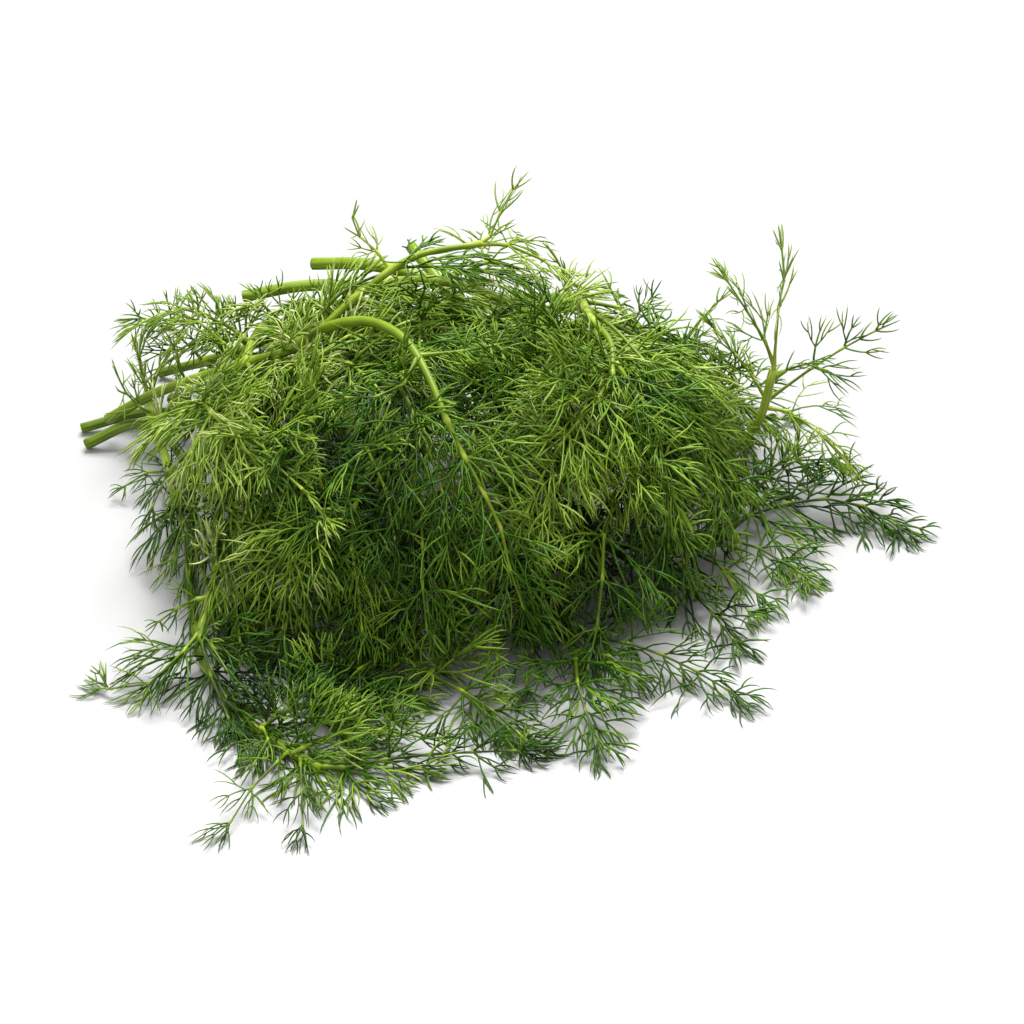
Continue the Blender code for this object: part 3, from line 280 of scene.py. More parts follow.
    LeafyStem(1.9, 1.1, [(-2, 138, 2), (22, 126, 10), (44, 108, 20), (62, 86, 26), (74, 66, 26)], [
        Shaped([(62, 86, 26), (65, 88, 34), (70, 90, 41), (75, 92, 46), (79, 93, 50)], 0.25, 0.9, 17),
        Shaped([(46, 106, 21), (46, 103, 31), (49, 100, 39), (52, 98, 45), (54, 97, 50)], 0.25, 0.9, 17),
        Draped(0.85, 30, 55, 0.85, 26), Draped(0.45, 60, 50, 0.75, 26), Draped(0.92, -60, 66, 0.85, 28),
        Shaped([(74, 66, 26), (76, 62, 38), (76, 58, 46), (73, 54, 50)], 0.15, 0.9, 20),
        Shaped([(74, 66, 26), (80, 64, 36), (84, 60, 42), (87, 54, 44)], 0.15, 0.9, 23),
        Shaped([(74, 66, 26), (84, 64, 24), (94, 58, 17), (103, 50, 9), (110, 43, 4)], 0.15, 0.9, 26),
        Shaped([(62, 86, 26), (70, 84, 31), (77, 79, 31), (83, 72, 27)], 0.15, 0.9, 26),
    ]),
    LeafyStem(1.9, 1.1, [(-64, 140, 2), (-50, 131, 10), (-34, 122, 20), (-20, 116, 28), (-7, 114, 32)], [
        Draped(0.98, 10, 80, 0.88, 26), Draped(0.8, 60, 50, 0.85, 29), Draped(0.6, 110, 45, 0.85, 26),
        Draped(0.9, -25, 90, 0.92, 29), Draped(0.4, 195, 70, 0.65), Draped(0.7, -70, 80, 0.7),
    ]),
    LeafyStem(1.9, 1.1, [(-134, 112, 2), (-116, 108, 10), (-98, 103, 20), (-82, 101, 28), (-68, 101, 33)], [
        Draped(0.98, 50, 55, 0.9, 29), Draped(0.75, 110, 40, 0.9, 23),
        Shaped([(-116, 108, 10), (-122, 104, 22), (-127, 99, 32), (-133, 95, 38),
            (-141, 92, 40)], 0.2, 0.9, 23),
        Shaped([(-107, 105, 15), (-112, 101, 29), (-118, 97, 38), (-124, 93, 42),
            (-130, 89, 41)], 0.2, 0.9, 26),
        Shaped([(-98, 103, 20), (-98, 98, 34), (-95, 92, 44), (-90, 86, 50)], 0.25, 0.9, 26),
        Draped(0.55, 155, 45, 0.9, 26), Draped(0.98, -80, 95, 0.9), Draped(0.4, -60, 80, 0.7),
        Draped(0.32, -85, 60, 1.1, 28),
        Shaped([(-82, 101, 28), (-89, 98, 41), (-96, 92, 46), (-104, 85, 46)], 0.15, 0.9, 25),
        Shaped([(-68, 101, 33), (-75, 96, 42), (-82, 90, 46), (-90, 84, 46)], 0.15, 0.9, 24),
        Shaped([(-98, 103, 20), (-104, 98, 31), (-110, 90, 35), (-116, 80, 35)], 0.15, 0.9, 24),
    ]),
    LeafyStem(2.0, 1.2, [(-84, 120, 8), (-62, 96, 16), (-34, 66, 22), (-8, 40, 26), (12, 16, 24),
        (26, -6, 18)], [
        Draped(0.98, -70, 90, 0.9), Draped(0.85, -25, 100, 0.9), Draped(0.7, -105, 105, 0.85),
        Draped(0.6, -45, 110, 0.95), Draped(0.98, -40, 62, 0.8, 22), Draped(0.4, -80, 105, 0.8),
        Draped(0.2, 10, 75, 0.6), Draped(0.62, -88, 95, 0.88), Draped(0.42, 10, 70, 0.55),
    ]),
    LeafyStem(2.0, 1.2, [(-104, 98, 12), (-88, 70, 26), (-77, 42, 36), (-71, 14, 40), (-68, -10, 38)], [
        Shaped([(-68, -10, 38), (-67, -24, 43), (-69, -35, 42), (-72, -41, 35), (-73, -47, 26),
            (-74, -52, 15), (-76, -58, 7)]),
        Shaped([(-71, 14, 40), (-79, 6, 50), (-82, -9, 56), (-75, -22, 57), (-66, -31, 54), (-59, -38, 48),
            (-54, -44, 40)], 0.35),
        Draped(0.65, -70, 105, 0.9), Draped(0.5, 175, 55, 0.8, 29), Draped(0.7, -150, 60, 0.85, 28),
        Draped(0.35, -15, 90, 0.87), Draped(0.98, -95, 75, 0.8), Draped(0.85, -112, 70, 0.75, 26),
    ]),
    LeafyStem(1.9, 1.1, [(-136, 92, 6), (-133, 76, 13), (-127, 54, 17), (-120, 28, 19), (-114, 6, 14)], [
        Shaped([(-130, 66, 15), (-135, 62, 23), (-139, 60, 32), (-141, 60, 41)], 0.3, 0.9, 20),
        Shaped([(-134, 84, 9), (-137, 88, 20), (-136, 90, 29), (-131, 92, 36)], 0.2, 0.9, 22),
        Draped(0.98, -78, 60, 0.9, 17, 0.12), Draped(0.7, -95, 36, 0.9, 17, 0.12),
        Draped(0.8, -55, 80, 0.8, 26), Draped(0.9, -60, 70, 0.6, 25, 0.12),
        Shaped([(-133, 76, 13), (-130, 80, 22), (-126, 83, 30), (-120, 86, 36)], 0.15, 0.9, 22),
        Shaped([(-127, 54, 17), (-122, 52, 29), (-116, 50, 36), (-108, 47, 41)], 0.15, 0.9, 26),
    ]),
    LeafyStem(2.0, 1.2, [(-82, 92, 26), (-64, 87, 48), (-44, 82, 62), (-20, 76, 66), (4, 66, 62),
        (18, 54, 56)], [
        Draped(0.98, -45, 100, 1.0), Draped(0.85, 20, 85, 0.95, 26), Draped(0.7, -80, 110, 1.0),
        Draped(0.6, 70, 65, 0.92, 26), Draped(0.15, -95, 95, 0.8), Draped(0.45, -112, 100, 0.9),
    ]),
]
print("leaves planned:", sum(len(plan.leaves) for plan in LEAFY_STEMS))

# %% [markdown]
# ## Curves, and how the leaves lie over the heap
#
# A route through a few places becomes a smooth curve. A draped leaf follows the heap's surface,
# which is a flattened dome, and then runs down to the table.

# %% Curves
def heap_height(x, y):
    """The height of the heap's surface over a place on the table, in millimetres."""
    off_centre = np.hypot((x - HEAP_CENTRE[0]) / HEAP_HALF_LENGTH, (y - HEAP_CENTRE[1]) / HEAP_HALF_WIDTH)
    return HEAP_HEIGHT * np.clip(1 - off_centre**HEAP_SHOULDER, 0, 1) ** HEAP_BROW


def unit(vectors):
    return vectors / np.maximum(np.linalg.norm(vectors, axis=-1, keepdims=True), 1e-9)


def evenly(points, count):
    """The polyline through these points, read again at equal distances along it."""
    steps = np.linalg.norm(np.diff(points, axis=0), axis=1)
    along = np.concatenate([[0], np.cumsum(steps)])
    wanted = np.linspace(0, along[-1], count)
    return np.stack([np.interp(wanted, along, points[:, axis]) for axis in range(3)], axis=1)


def length_of(points):
    return float(np.linalg.norm(np.diff(points, axis=0), axis=1).sum())


def smooth_route(places, count):
    """A Catmull-Rom curve through the places, read at equal distances."""
    places = np.array(places, float)
    padded = np.concatenate([[2 * places[0] - places[1]], places, [2 * places[-1] - places[-2]]])
    t = np.arange(STEPS_BETWEEN_PLACES)[:, None] / STEPS_BETWEEN_PLACES
    pieces = []
    for before, start, end, after in zip(padded, padded[1:], padded[2:], padded[3:]):
        pieces.append(
            0.5 * (2 * start + (end - before) * t + (2 * before - 5 * start + 4 * end - after) * t**2
                   + (3 * start - before - 3 * end + after) * t**3)
        )
    return evenly(np.concatenate(pieces + [places[-1:]]), count)


def draped_route(start, stem_heading, heading, length, layer, curl):
    """A leaf's midline: it swings from its stem's heading to its own, climbs to its layer of the
    heap and then follows the heap down to the table."""
    run = np.arange(0, length, ROUTE_STEP)
    swing = (stem_heading - heading + math.pi) % math.tau - math.pi
    angle = heading + swing * np.exp(-run / SWING_OVER) + curl * run / length
    x = start[0] + np.concatenate([[0], np.cumsum(ROUTE_STEP * np.cos(angle))[:-1]])
    y = start[1] + np.concatenate([[0], np.cumsum(ROUTE_STEP * np.sin(angle))[:-1]])
    share = np.clip(run / CLIMB_OVER, 0, 1)
    ease = share * share * (3 - 2 * share)
    surface = np.pad(layer * heap_height(x, y) + CLEAR_OF_SURFACE, SMOOTHED_STEPS // 2, mode="edge")
    surface = np.convolve(surface, np.full(SMOOTHED_STEPS, 1 / SMOOTHED_STEPS), mode="valid")
    points = np.stack([x, y, start[2] + (surface - start[2]) * ease], axis=1)
    steps = np.linalg.norm(np.diff(points, axis=0), axis=1)
    kept = 1 + np.searchsorted(np.cumsum(steps), length)
    return evenly(points[:kept], ROUTE_POINTS)


# %% [markdown]
# ## Keeping the stems apart
#
# Stems and leaves may touch, but they can't pass through each other. So every midline that is
# placed is kept as a row of short rods, and a new one is tried again, a little turned, until it
# is clear of the rods of every other stem.

# %% Rods that stay clear of each other
def segment_gaps(start_a, end_a, start_b, end_b):
    """The distances from each segment a to each segment b, by the closest points on both."""
    a, b = end_a[:, None] - start_a[:, None], end_b[None] - start_b[None]
    apart = start_a[:, None] - start_b[None]
    aa, bb, ab = (a * a).sum(-1), (b * b).sum(-1), (a * b).sum(-1)
    a_apart, b_apart = (a * apart).sum(-1), (b * apart).sum(-1)
    across = aa * bb - ab * ab
    s = np.clip(np.where(across > 1e-9, (ab * b_apart - bb * a_apart) / np.maximum(across, 1e-9), 0), 0, 1)
    t = np.clip((ab * s + b_apart) / np.maximum(bb, 1e-9), 0, 1)
    s = np.clip((ab * t - a_apart) / np.maximum(aa, 1e-9), 0, 1)
    return np.linalg.norm(apart + a * s[..., None] - b * t[..., None], axis=-1)


class Bones:
    """The midlines placed so far, as segments with a radius, the number of the leafy stem that
    each belongs to, and the number of the leaf whose side branch it is, or -1."""

    def __init__(self):
        self.start = np.zeros((0, 3))
        self.end = np.zeros((0, 3))
        self.radius = np.zeros(0)
        self.owner = np.zeros(0, int)
        self.leaf = np.zeros(0, int)

    def room(self, points, radii, chosen):
        if not chosen.any():
            return NO_NEIGHBOUR
        reach = np.maximum(radii[:-1], radii[1:])
        distance = segment_gaps(points[:-1], points[1:], self.start[chosen], self.end[chosen])
        return float((distance - reach[:, None] - self.radius[chosen][None]).min()) - GAP

    def clearance(self, points, radii, owner):
        """How far this midline stays clear of every other leafy stem, less the gap to keep."""
        return self.room(points, radii, self.owner != owner)

    def own_clearance(self, points, radii, leaf):
        """The same against the side branches of its own leaf."""
        return self.room(points, radii, self.leaf == leaf)

    def add(self, points, radii, owner, leaf=-1):
        count = len(points) - 1
        self.start = np.concatenate([self.start, points[:-1]])
        self.end = np.concatenate([self.end, points[1:]])
        self.radius = np.concatenate([self.radius, np.maximum(radii[:-1], radii[1:])])
        self.owner = np.concatenate([self.owner, np.full(count, owner)])
        self.leaf = np.concatenate([self.leaf, np.full(count, leaf)])


# %% [markdown]
# ## From a stem to its side branches
#
# A leaf of dill has a bare stalk and then pairs of side branches. They spread at a wide angle low
# on the leaf and close up towards its tip, and they droop where the leaf hangs down.

# %% Stalks
def above_table(points, radii):
    """The midline lifted where it would sink into the table."""
    lifted = points.copy()
    lifted[:, 2] = np.maximum(lifted[:, 2], LYING_HEIGHT * radii)
    return lifted


def stem_line(plan):
    count = max(5, round(length_of(np.array(plan.route, float)) / STEM_POINT_EVERY))
    radii = np.linspace(plan.foot_radius, plan.tip_radius, count)
    return above_table(smooth_route(plan.route, count), radii), radii


def leaf_up(points, tangents):
    """At each point of a leaf, the way its flat blade faces: outward from the heap's surface, and
    straight up where the leaf lies on the table beside the heap."""
    height = np.clip(points[:, 2] / HEAP_HEIGHT, 0, 1)
    outward = np.stack(
        [
            DOME_FALL * height * (points[:, 0] - HEAP_CENTRE[0]) / HEAP_HALF_LENGTH**2,
            DOME_FALL * height * (points[:, 1] - HEAP_CENTRE[1]) / HEAP_HALF_WIDTH**2,
            np.maximum(points[:, 2], LOWEST_DOME) / HEAP_HEIGHT**2,
        ],
        axis=1,
    )
    outward = unit(unit(outward) + FRONTWARD)
    return unit(outward - (outward * tangents).sum(1, keepdims=True) * tangents)


def read_at(values, share):
    """The rows of an evenly spaced array at these shares of its length, blended."""
    place = np.clip(share, 0, 1) * (len(values) - 1)
    below = np.minimum(place.astype(int), len(values) - 2)
    blend = (place - below)[:, None]
    return values[below] * (1 - blend) + values[below + 1] * blend


def stalk_of(leaf, curve):
    """The stalk of a leaf along its curve: a few plain rings, and two rings close together at
    each pair of side branches. The last centre is the tip, which is a point."""
    length = length_of(curve)
    leafy = (1 - leaf.bare) * length
    count = int(np.clip(round(leafy / PAIR_EVERY), FEWEST_PAIRS, MOST_PAIRS))
    nodes = leaf.bare + (1 - leaf.bare) * LAST_PAIR * np.arange(count) / (count - 1)
    plain = np.linspace(0, nodes[0], 1 + max(1, round(leaf.bare * length / STALK_POINT_EVERY)))[:-1]
    half = NODE_HALF_LENGTH / length
    rings = np.concatenate([plain, np.stack([nodes - half, nodes + half], axis=1).ravel(), [1.0]])
    pairs = [len(plain) + 2 * pair for pair in range(count)]
    centres = read_at(curve, rings)
    radii = STALK_TIP_RADIUS + (leaf.radius - STALK_TIP_RADIUS) * (1 - rings) ** STALK_TAPER
    centres[:, 2] = np.maximum(centres[:, 2], radii)
    tangents = unit(read_at(np.gradient(curve, axis=0), rings))
    up = leaf_up(centres, tangents)
    return Stalk(centres, radii, np.cross(up, tangents), up, pairs, leaf.spread)


def leaf_stalk(leaf, stem, rng, attempt):
    """A leaf's stalk. A draped leaf is turned, moved and lifted a little more at each attempt."""
    if isinstance(leaf, Shaped):
        return stalk_of(leaf, smooth_route(leaf.route, ROUTE_POINTS))
    share = leaf.share + rng.normal(0, SHARE_PER_TRY * attempt)
    share = np.clip(share, LOWEST_SHARE, HIGHEST_SHARE)
    place = share * (len(stem) - 1)
    below = min(int(place), len(stem) - 2)
    start = stem[below] + (place - below) * (stem[below + 1] - stem[below])
    along = stem[below + 1] - stem[below]
    heading = math.radians(leaf.heading + rng.normal(0, HEADING_SPREAD + HEADING_PER_TRY * attempt))
    layer = leaf.layer * (1 + rng.normal(0, LAYER_SPREAD + LAYER_PER_TRY * attempt))
    stem_heading = math.atan2(along[1], along[0])
    curl = rng.normal(0, BEND_SPREAD)
    return stalk_of(leaf, draped_route(start, stem_heading, heading, leaf.length, layer, curl))


# %% Side branches
def longest_branch(stalk):
    return min(stalk.spread, BRANCH_SHARE * length_of(stalk.centres[stalk.pairs[0]:]))


def branch_angle(stalk, share):
    """The angle between a leaf's stalk and its side branches, at this share of the pairs."""
    slimness = SLIMMEST_ANGLES + (1 - SLIMMEST_ANGLES) * stalk.spread / FULL_SPREAD
    return slimness * (BRANCH_ANGLE_FIRST + (BRANCH_ANGLE_LAST - BRANCH_ANGLE_FIRST) * share)


def wanted_branches(stalk, rng):
    """Each side branch and thread of a leaf: (pair, hand, is it a thread, length, angle, tilt)."""
    longest = longest_branch(stalk)
    count = len(stalk.pairs)
    wanted = []
    for pair in range(count):
        share = pair / (count - 1)
        angle = branch_angle(stalk, share)
        for hand in (-1, 1):
            length = longest * (1 - (1 - BRANCH_SHRINK) * share) * rng.uniform(*BRANCH_LENGTHS)
            tilt = rng.uniform(*BRANCH_TILTS)
            wanted.append((pair, hand, False, length, angle, tilt))
            if pair < count - PAIRS_WITHOUT_THREADS:
                thread = min(THREAD_LENGTH, THREAD_SHARE * longest)
                wanted.append((pair, hand, True, thread, angle - THREAD_TURN, tilt + THREAD_TILT))
    return wanted


def grow_branches(bones, owner, leaf, stalk, rng):
    """The side branches of a leaf, each bent clear of other leafy stems and of its own leaf."""
    branches, left_out = [], 0
    radii = np.full(2, BRANCH_RADIUS)
    for pair, hand, thread, length, angle, tilt in wanted_branches(stalk, rng):
        ring = stalk.pairs[pair]
        foot = stalk.centres[ring:ring + 2].mean(axis=0)
        forward = unit(stalk.centres[ring + 1] - stalk.centres[ring])
        across, up = hand * stalk.side[ring], stalk.up[ring]
        for attempt in range(BRANCH_TRIES):
            turned = angle + rng.normal(0, TURN_PER_TRY * (1 + attempt))
            tilted = float(np.clip(tilt + rng.normal(0, TILT_PER_TRY * attempt), *TILT_LIMITS))
            turned = float(np.clip(turned, *TURN_LIMITS))
            sideways = math.cos(tilted) * across + math.sin(tilted) * up
            way = math.cos(turned) * forward + math.sin(turned) * sideways
            way = unit(way - [0, 0, HANG * max(0.0, -forward[2])])
            tip = foot + length * (1 - SHORTER_PER_TRY * attempt) * way
            tip[2] = max(tip[2], LOWEST_TIP)
            clear_foot = foot + FUSED_SHARE * (tip - foot)
            if bones.clearance(np.array([foot, tip]), radii, owner) < 0:
                continue
            if bones.own_clearance(np.array([clear_foot, tip]), radii / 2, leaf) < 0:
                continue
            bones.add(np.array([clear_foot, tip]), radii, owner, leaf)
            bones.add(np.array([foot, clear_foot]), radii, owner)
            branches.append(Branch(pair, hand, thread, foot, tip))
            break
        else:
            left_out += 1
    return branches, left_out


# %% The whole plan
def grow():
    """Every leafy stem as (name, (its points, their radii), [(stalk, side branches) of each leaf])."""
    bones, grown = Bones(), []
    for owner, plan in enumerate(LEAFY_STEMS):
        name = f"leafy_stem_{owner + 1:02d}"
        stem = stem_line(plan)
        clearance = bones.clearance(*stem, owner)
        if clearance < 0:
            print(f"{name}: its stem is {-clearance:.1f} mm too near another")
        bones.add(*stem, owner)
        grown.append((name, stem, []))
    for kind in (Shaped, Draped):
        for owner, plan in enumerate(LEAFY_STEMS):
            rng = np.random.default_rng(owner)
            for number, leaf in enumerate(plan.leaves):
                if not isinstance(leaf, kind):
                    continue
                best, stalk = -NO_NEIGHBOUR, None
                for attempt in range(LEAF_TRIES):
                    tried = leaf_stalk(leaf, grown[owner][1][0], rng, attempt)
                    clearance = bones.clearance(tried.centres, tried.radii, owner)
                    if clearance > best:
                        best, stalk = clearance, tried
                    if clearance >= 0 or kind is Shaped:
                        break
                if best < 0:
                    print(f"{grown[owner][0]}: leaf {number} is {-best:.1f} mm too near another")
                bones.add(stalk.centres, stalk.radii, owner)
                grown[owner][2].append((stalk, []))
    left_out, leaf = 0, 0
    for owner, (name, stem, leaves) in enumerate(grown):
        for stalk, branches in leaves:
            found, missed = grow_branches(bones, owner, leaf, stalk, np.random.default_rng([7, leaf]))
            branches.extend(found)
            left_out += missed
            leaf += 1
    print("leaves:", leaf, "side branches left out:", left_out)
    return grown


grown = grow()
print("leafy stems:", len(grown))

# %% [markdown]
# ## Many tubes at once
#
# A thread of dill is 0.8 mm wide and about 12 mm long, and the bunch has tens of thousands of
# them. Curves with a bevel would be slow, so each tube is a profile carried along a path, and
# one call works out the points of all the tubes of a kind as whole arrays.


# %% Tubes along paths
RIBS = 8


def tube_frames(paths):
    """Two directions across each path: the first is the tangent crossed with the axis that the
    path runs along least, and the second is the tangent crossed with the first."""
    tangents = unit(np.gradient(paths, axis=1))
    least = np.abs(tangents).max(axis=1).argmin(axis=1)
    across = unit(np.cross(tangents, np.eye(3)[least][:, None]))
    return across, np.cross(tangents, across)


def tubes(paths, radii, sides, pointed=True, ridge=0.0):
    """Closed tubes. A point of the surface is path(t) + radius(t) (1 + ridge cos(RIBS a)) times
    (across cos(a) + up sin(a)), for the angle a around it. A pointed tube ends in its path's last
    point. Gives (vertices, triangles, share along the path of each vertex, its path's number)."""
    across, up = tube_frames(paths)
    ringed = paths.shape[1] - int(pointed)
    angle = np.arange(sides) * math.tau / sides
    swell = 1 + ridge * np.cos(RIBS * angle)
    around = np.cos(angle)[:, None] * across[:, :ringed, None] + np.sin(angle)[:, None] * up[:, :ringed, None]
    rings = paths[:, :ringed, None] + radii[:, :ringed, None, None] * swell[:, None] * around
    count, each = len(paths), ringed * sides + int(pointed)
    points = rings.reshape(count, ringed * sides, 3)
    share = np.repeat(np.linspace(0, 1, paths.shape[1])[:ringed], sides)
    if pointed:
        points = np.concatenate([points, paths[:, -1:]], axis=1)
        share = np.append(share, 1.0)
    corner = np.arange(sides)
    low = (sides * np.arange(ringed - 1)[:, None] + corner).ravel()
    beside = (sides * np.arange(ringed - 1)[:, None] + (corner + 1) % sides).ravel()
    wall = np.concatenate([
        np.stack([low, beside, beside + sides], axis=1),
        np.stack([low, beside + sides, low + sides], axis=1),
    ])
    fan = np.arange(1, sides - 1)
    foot = np.stack([np.zeros_like(fan), fan + 1, fan], axis=1)
    last = (ringed - 1) * sides
    if pointed:
        end = np.stack([last + corner, last + (corner + 1) % sides, np.full(sides, each - 1)], axis=1)
    else:
        end = last + np.stack([np.zeros_like(fan), fan, fan + 1], axis=1)
    one = np.concatenate([wall, foot, end])
    triangles = (one[None] + each * np.arange(count)[:, None, None]).reshape(-1, 3)
    return points.reshape(-1, 3), triangles, np.tile(share, count), np.repeat(np.arange(count), each)


def bowed(starts, ends, bow, count):
    """Paths whose point at t is start + (end - start) t + bow 4 t (1 - t), for t from 0 to 1."""
    t = np.linspace(0, 1, count)[:, None]
    return starts[:, None] + (ends - starts)[:, None] * t + bow[:, None] * (4 * t * (1 - t))


def at_share(paths, share):
    """The points of each path at the shares in its row, and the tangents there: two arrays."""
    place = share * (paths.shape[1] - 1)
    below = np.minimum(place.astype(int), paths.shape[1] - 2)
    rows = np.arange(len(paths))[:, None]
    step = paths[rows, below + 1] - paths[rows, below]
    return paths[rows, below] + step * (place - below)[..., None], unit(step)


def over_table(paths, radius):
    """The same paths, with every point at least one radius above the table."""
    lifted = paths.copy()
    lifted[..., 2] = np.maximum(lifted[..., 2], radius)
    return lifted


# %% [markdown]
# ## Threads
#
# Each side branch carries pairs of twigs, and each twig forks into threads at narrow angles. A
# fork turns in the leaf's own plane, with some scatter out of it, and hangs a little.

# %% The course of a thread
# A thread sags by a share of its length where it lies level, mostly towards its end, and curls by
# another share at random. Its path has this many points, none of them lower than THREAD_LOWEST.
SAG = 0.2
SAG_BOW = 0.3
CURL = 0.034
SCATTER = math.radians(24)
THREAD_POINTS = 5
THREAD_LOWEST = 0.35


def turned(directions, normals, angle, tilt, hand):
    """Directions turned by an angle towards one hand in the plane across the normals, where that
    sideways direction is itself tilted out of the plane: (the directions, the sideways ones)."""
    side = unit(np.cross(normals, directions)) * hand[..., None]
    out = unit(np.cross(directions, side)) * hand[..., None]
    sideways = np.cos(tilt)[..., None] * side + np.sin(tilt)[..., None] * out
    return np.cos(angle)[..., None] * directions + np.sin(angle)[..., None] * sideways, sideways


def free_threads(starts, directions, sideways, lengths, bulge, rng):
    """Paths of threads that start out sideways and bend forward, by a bulge that is a share of
    their length, curl a little at random, and sag where they lie level."""
    sag = np.zeros_like(starts)
    sag[:, 2] = -SAG * lengths * (1 - directions[:, 2] ** 2)
    curl = rng.normal(0, CURL, starts.shape) * lengths[:, None]
    ends = starts + directions * lengths[:, None] + sag
    bow = bulge * lengths[:, None] * sideways + curl - SAG_BOW * sag
    return over_table(bowed(starts, ends, bow, THREAD_POINTS), THREAD_LOWEST)


# %% How a side branch and a twig divide
# An offshoot's hands are the sides that it and the next ones leave to. Its angle, its length and
# its place vary at random by these spreads, and its length stays within the limits.
Offshoots = collections.namedtuple(
    "Offshoots", "hands place_spread angle_spread length_spread length_limits bulge"
)
TWIG_EVERY = 6.2
TWIGS_LESS = 0.3
MOST_TWIGS = 6
PAIRED_FROM = 9.0
TWIG_PLACING = (0.35, 0.6)
TWIG_PLACE_LIMITS = (0.03, 0.93)
TWIG_ANGLE_FIRST = math.radians(27)
TWIG_ANGLE_LAST = math.radians(14)
TWIG_SHARE = 0.96
TWIGS = Offshoots(np.tile([1.0, -1.0], MOST_TWIGS), 0.02, 0.08, (0.8, 1.2), (4.5, 28.0), 0.1)

# The forks of a twig, one after another: where each starts, and how long a twig has to be for it.
FORK_PLACES = np.array([0.22, 0.42, 0.6])
FORK_FROM = np.array([8.0, 12.0, 17.0])
FORK_ANGLE = math.radians(16)
FORKS = Offshoots(np.array([1.0, -1.0, 1.0]), 0.03, 0.07, (0.85, 1.2), (5.0, math.inf), 0.08)


def divide(kind, parents, normals, share, angle, lengths, used, rng):
    """The offshoots of each parent at the shares in its row, where they are used: (paths, their
    plane's normals, their lengths, number of each one's parent)."""
    starts, along = at_share(parents, share)
    hand = kind.hands * rng.choice([-1.0, 1.0], (len(parents), 1))
    flat = np.repeat(normals[:, None], share.shape[1], axis=1)
    angle = angle + rng.normal(0, kind.angle_spread, share.shape)
    ways, sideways = turned(along, flat, angle, rng.normal(0, SCATTER, share.shape), hand)
    lengths = np.clip(lengths * rng.uniform(*kind.length_spread, share.shape), *kind.length_limits)
    owner = np.repeat(np.arange(len(parents))[:, None], share.shape[1], axis=1)
    paths = free_threads(starts[used], ways[used], sideways[used], lengths[used], kind.bulge, rng)
    return paths, flat[used], lengths[used], owner[used]


def twigs_of(branches, normals, rng):
    """The twigs of side branches. A twig is TWIG_SHARE of the branch that is left beyond its foot.
    They stand in pairs, but singly on a branch shorter than PAIRED_FROM."""
    reach = np.linalg.norm(branches[:, -1] - branches[:, 0], axis=1)[:, None]
    count = np.clip(np.round(reach / TWIG_EVERY - TWIGS_LESS), 1, MOST_TWIGS)
    number = np.arange(MOST_TWIGS)
    share = np.repeat((number + TWIG_PLACING[0]) / (count + TWIG_PLACING[1]), 2, axis=1)
    share = share + rng.normal(0, TWIGS.place_spread, share.shape)
    used = np.repeat(number < count, 2, axis=1)
    used[:, 1::2] &= reach > PAIRED_FROM
    angle = TWIG_ANGLE_FIRST + (TWIG_ANGLE_LAST - TWIG_ANGLE_FIRST) * share
    lengths = reach * TWIG_SHARE * np.clip(1 - share, 0, 1)
    return divide(TWIGS, branches, normals, np.clip(share, *TWIG_PLACE_LIMITS), angle, lengths, used, rng)


def forks_of(twigs, normals, lengths, rng):
    """The threads that fork off twigs, to alternate sides."""
    share = FORK_PLACES + rng.normal(0, FORKS.place_spread, (len(twigs), len(FORK_PLACES)))
    reach, used = lengths[:, None] * (1 - share), lengths[:, None] > FORK_FROM
    return divide(FORKS, twigs, normals, share, FORK_ANGLE, reach, used, rng)


print("a side branch has up to", 2 * MOST_TWIGS, "twigs, and a twig up to", len(FORK_PLACES), "forks")

# %% [markdown]
# ## Materials
#
# Fresh dill leaf is a waxy skin over wet green tissue: satin, a little see-through, and darker
# deep in the leaf than at its young tips. The stems are smoother, yellower and finely ribbed, and
# the knife leaves a pale, wet cut. The tone that sets their colour also carries painted shade:
# darker where a part lies deep in the heap, low beside it, or in a hollow.

# %% Colour and node helpers
def linear(code):
    """An sRGB hex colour such as 3F7A1E as linear red, green, blue and an alpha of 1."""
    srgb = np.array([int(code[place:place + 2], 16) for place in (0, 2, 4)]) / 255
    light = np.where(srgb <= 0.04045, srgb / 12.92, ((srgb + 0.055) / 1.055) ** 2.4)
    return (*light.tolist(), 1.0)


def set_inputs(node, values):
    for name, value in values.items():
        node.inputs[name].default_value = value


def add_node(material, kind, settings=None, inputs=None, links=None):
    """A node of this kind with its settings, its input values and the links into it."""
    tree = material.node_tree
    node = tree.nodes.new(kind)
    for name, value in (settings or {}).items():
        setattr(node, name, value)
    set_inputs(node, inputs or {})
    for name, (source, output) in (links or {}).items():
        tree.links.new(source.outputs[output], node.inputs[name])
    return node


def new_material(name):
    """A material, its shader, and a node that gives a place in the piece's own coordinates."""
    material = bpy.data.materials.new(name)
    material.use_nodes = True
    shader = material.node_tree.nodes["Principled BSDF"]
    return material, shader, add_node(material, "ShaderNodeTexCoord")


def noise(material, where, grain_mm, detail):
    """Noise of this grain, read at the place in the piece's own coordinates."""
    return add_node(
        material, "ShaderNodeTexNoise", inputs={"Scale": 1 / (grain_mm * MM), "Detail": detail},
        links={"Vector": (where, "Object")},
    )


def colour_ramp(material, shader, source, output, stops):
    """Colours the shader by the source's output, through (place, sRGB hex colour) stops."""
    ramp = add_node(material, "ShaderNodeValToRGB", links={"Fac": (source, output)})
    elements = ramp.color_ramp.elements
    for element, (place, code) in zip(elements, (stops[0], stops[-1])):
        element.position, element.color = place, linear(code)
    for place, code in stops[1:-1]:
        elements.new(place).color = linear(code)
    material.node_tree.links.new(ramp.outputs["Color"], shader.inputs["Base Color"])


